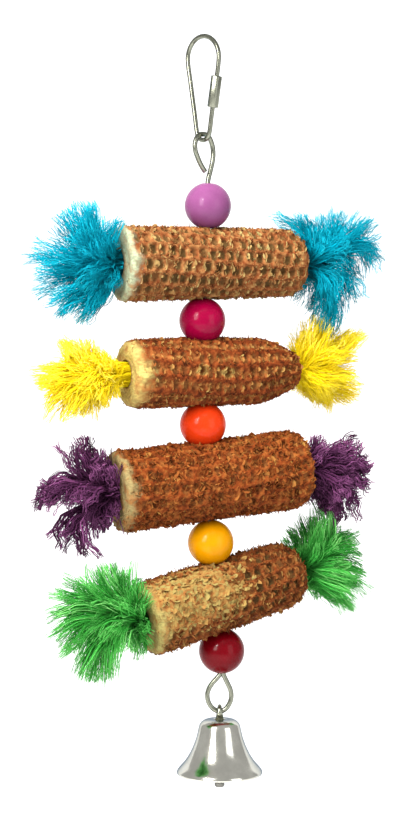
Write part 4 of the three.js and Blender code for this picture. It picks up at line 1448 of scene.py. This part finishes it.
class COBTOY_OT_bell(Operator):
    """Turn the flared bell, bend its staple and hang the clapper inside"""

    bl_idname = "cobtoy.bell"
    bl_label = "Bell"

    def execute(self, context):
        metal = context.scene.cobtoy_metal
        low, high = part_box("bell")
        axis = Vector(((low.x + high.x) / 2, (low.y + high.y) / 2, 0))
        chrome = plated_metal("bell_chrome", metal.chrome, 0.13, 0.06)
        self.turn_bell(metal, axis, chrome)
        self.bend_staple(metal, axis)
        self.make_clapper(axis, plated_metal("clapper_chrome", shaded(metal.chrome, 0.25), 0.2, 0.1))
        return {"FINISHED"}

    def turn_bell(self, metal, axis, chrome):
        piece = turned_profile(BELL_PROFILE, 64)
        outward_normals()
        apply_modifier(piece, "SOLIDIFY", thickness=metal.bell_wall, offset=-1, use_even_offset=True)
        apply_modifier(piece, "SUBSURF", levels=2, render_levels=2)
        bpy.ops.object.shade_smooth()
        set_in_place(piece, Matrix.Translation(axis + Vector((0, 0, BELL_TOP * MM))))
        hand_over(piece, "bell_shell", "bell", "bell", chrome)

    def bend_staple(self, metal, axis):
        outer, waist, inner = STAPLE_OUTER, STAPLE_WAIST, STAPLE_INNER
        high, low = STAPLE_TOP - outer, STAPLE_BOTTOM + inner
        crown = BELL_TOP - 0.4
        route = [(inner, low + 0.5), (inner * 0.72, STAPLE_BOTTOM + inner * 0.3), (0, STAPLE_BOTTOM)]
        route += [(-inner * 0.72, STAPLE_BOTTOM + inner * 0.3), (-inner, low), (-waist, crown - STAPLE_NECK)]
        route += [(-waist, crown + STAPLE_NECK), (-outer, high - 0.4), *arc(high, outer, 180, 0, 4)]
        route += [(outer, high - 0.4), (waist, crown + STAPLE_NECK), (waist, crown - STAPLE_NECK)]
        route += [(inner * 0.9, low + 1.5)]
        piece = bent_wire([Vector((0, y, z)) * MM for y, z in route], metal.staple_wire)
        for vertex in piece.data.vertices:
            below = min(max((STAPLE_TOP - vertex.co.z / MM) / (STAPLE_TOP - BELL_TOP), 0), 1)
            vertex.co.x *= STAPLE_WIDE + STAPLE_WIDER * below
        set_in_place(piece, Matrix.Translation(axis))
        steel = plated_metal("staple_steel", shaded(metal.steel, 1.3), 0.2, 0.14)
        hand_over(piece, "bell_staple_bent", "bell", "bell_staple", steel)

    def make_clapper(self, axis, chrome):
        hook = STAPLE_BOTTOM + STAPLE_RADIUS + CLAPPER_WIRE + CLAPPER_GAP - CLAPPER_RING
        start_piece()
        bpy.ops.mesh.primitive_torus_add(
            major_radius=CLAPPER_RING * MM, minor_radius=CLAPPER_WIRE * MM,
            major_segments=32, minor_segments=12,
            rotation=(math.pi / 2, 0, 0), location=(0, 0, hook * MM),
        )
        ring = bpy.context.object
        neck = [(radius, hook + rise) for radius, rise in CLAPPER_NECK]
        stem = [(radius, CLAPPER_BOTTOM + rise) for radius, rise in CLAPPER_PROFILE]
        rod = turned_profile([*neck, *stem], 32)
        ring.select_set(True)
        bpy.ops.object.join()
        outward_normals()
        bpy.ops.object.transform_apply()
        bpy.ops.object.shade_smooth_by_angle(angle=math.radians(40))
        set_in_place(rod, Matrix.Translation(axis))
        hand_over(rod, "clapper_rod", "clapper", "clapper", chrome)


# Stage


class COBTOY_OT_stage(Operator):
    """Lay the pale floor and backdrop, hang the soft lights and set up the camera"""

    bl_idname = "cobtoy.stage"
    bl_label = "Stage"

    MIDDLE = SEEN_MIDDLE * MM
    # In metres: the floor's width and middle, the backdrop's height and the curve between them
    FLOOR_SIZE, FLOOR_Y, BACKDROP, CURVE = 8, -1, 4, 0.6
    # Each light's name, place from the middle of the toy, size, power and colour
    LIGHTS = (
        ("key", (-0.48, -0.72, 0.38), (0.32, 0.62), 7.0, (1.0, 0.98, 0.95)),
        ("glint", (-0.4, -0.72, 0.46), (0.07, 0.12), 1.4, (1.0, 1.0, 1.0)),
        ("fill", (0.75, -0.7, 0.15), (0.5, 0.8), 2.2, (0.96, 0.98, 1.0)),
        ("top", (-0.1, -0.4, 0.75), (0.8, 0.4), 14.0, (1.0, 1.0, 1.0)),
    )

    def execute(self, context):
        stage = context.scene.cobtoy_stage
        self.lay_floor(stage)
        for light in self.LIGHTS:
            self.hang_light(*light)
        self.light_room(context)
        self.set_camera(context, stage)
        return {"FINISHED"}

    def lay_floor(self, stage):
        floor_z = CAD_BOX[0].z - stage.drop
        start_piece()
        bpy.ops.mesh.primitive_plane_add(size=self.FLOOR_SIZE, location=(0, self.FLOOR_Y, floor_z))
        floor = bpy.context.object
        bpy.ops.object.transform_apply()
        edit(floor, lambda edge: all(vertex.co.y > 1 for vertex in edge.verts), "EDGE")
        bpy.ops.mesh.extrude_region_move(TRANSFORM_OT_translate={"value": (0, 0, self.BACKDROP)})
        leave_edit()
        low = floor_z + MM
        edit(floor, lambda edge: all(vertex.co.y > 1 and vertex.co.z < low for vertex in edge.verts), "EDGE")
        bpy.ops.mesh.bevel(offset=self.CURVE, segments=12)
        leave_edit()
        bpy.ops.object.shade_smooth()
        floor.name = "floor"
        floor.data.materials.append(pale_floor(stage.floor))

    def hang_light(self, name, place, size, power, colour):
        start_piece()
        where = self.MIDDLE + Vector(place)
        bpy.ops.object.light_add(type="AREA", location=where)
        light = bpy.context.object
        light.name = f"{name}_light"
        light.rotation_euler = (self.MIDDLE - where).to_track_quat("-Z", "Y").to_euler()
        light.data.shape = "RECTANGLE"
        light.data.size, light.data.size_y = size
        light.data.energy = power
        light.data.color = colour
        light.visible_glossy = name != "top"

    def light_room(self, context):
        world = bpy.data.worlds.new("studio")
        world.use_nodes = True
        background = world.node_tree.nodes["Background"]
        background.inputs["Color"].default_value = (1, 1, 1, 1)
        background.inputs["Strength"].default_value = 0.45
        context.scene.world = world
        context.scene.view_settings.view_transform = "Standard"

    def set_camera(self, context, stage):
        start_piece()
        back = toward_camera(stage.elevation)
        bpy.ops.object.camera_add(location=self.MIDDLE + back * stage.distance)
        camera = bpy.context.object
        camera.rotation_euler = (-back).to_track_quat("-Z", "Y").to_euler()
        camera.data.lens = camera.data.sensor_width * stage.distance / stage.seen_height
        camera.data.clip_start = 0.01
        context.scene.camera = camera


class COBTOY_PT_pieces(Panel):
    """Buttons that make the pieces and the stage"""

    bl_label = "Corn Cob Toy"
    bl_space_type = "VIEW_3D"
    bl_region_type = "UI"
    bl_category = "Cob Toy"

    def draw(self, context):
        for operator in OPERATORS:
            self.layout.operator(operator.bl_idname)


SETTINGS = {
    "cobtoy_metal": MetalSettings,
    "cobtoy_beads": BeadSettings,
    "cobtoy_cobs": CobSettings,
    "cobtoy_ropes": RopeSettings,
    "cobtoy_stage": StageSettings,
}
OPERATORS = (
    COBTOY_OT_screw_link,
    COBTOY_OT_string_wire,
    COBTOY_OT_beads,
    COBTOY_OT_cobs,
    COBTOY_OT_tufts,
    COBTOY_OT_bell,
    COBTOY_OT_stage,
)
CLASSES = (*SETTINGS.values(), *OPERATORS, COBTOY_PT_pieces)


def register():
    for made in CLASSES:
        bpy.utils.register_class(made)
    for name, group in SETTINGS.items():
        setattr(bpy.types.Scene, name, PointerProperty(type=group))


def unregister():
    for name in SETTINGS:
        delattr(bpy.types.Scene, name)
    for made in reversed(CLASSES):
        bpy.utils.unregister_class(made)


def main():
    register()
    bpy.ops.cobtoy.screw_link()
    bpy.ops.cobtoy.string_wire()
    bpy.ops.cobtoy.beads()
    bpy.ops.cobtoy.cobs()
    bpy.ops.cobtoy.tufts()
    bpy.ops.cobtoy.bell()
    bpy.ops.cobtoy.stage()


if __name__ == "__main__":
    main()
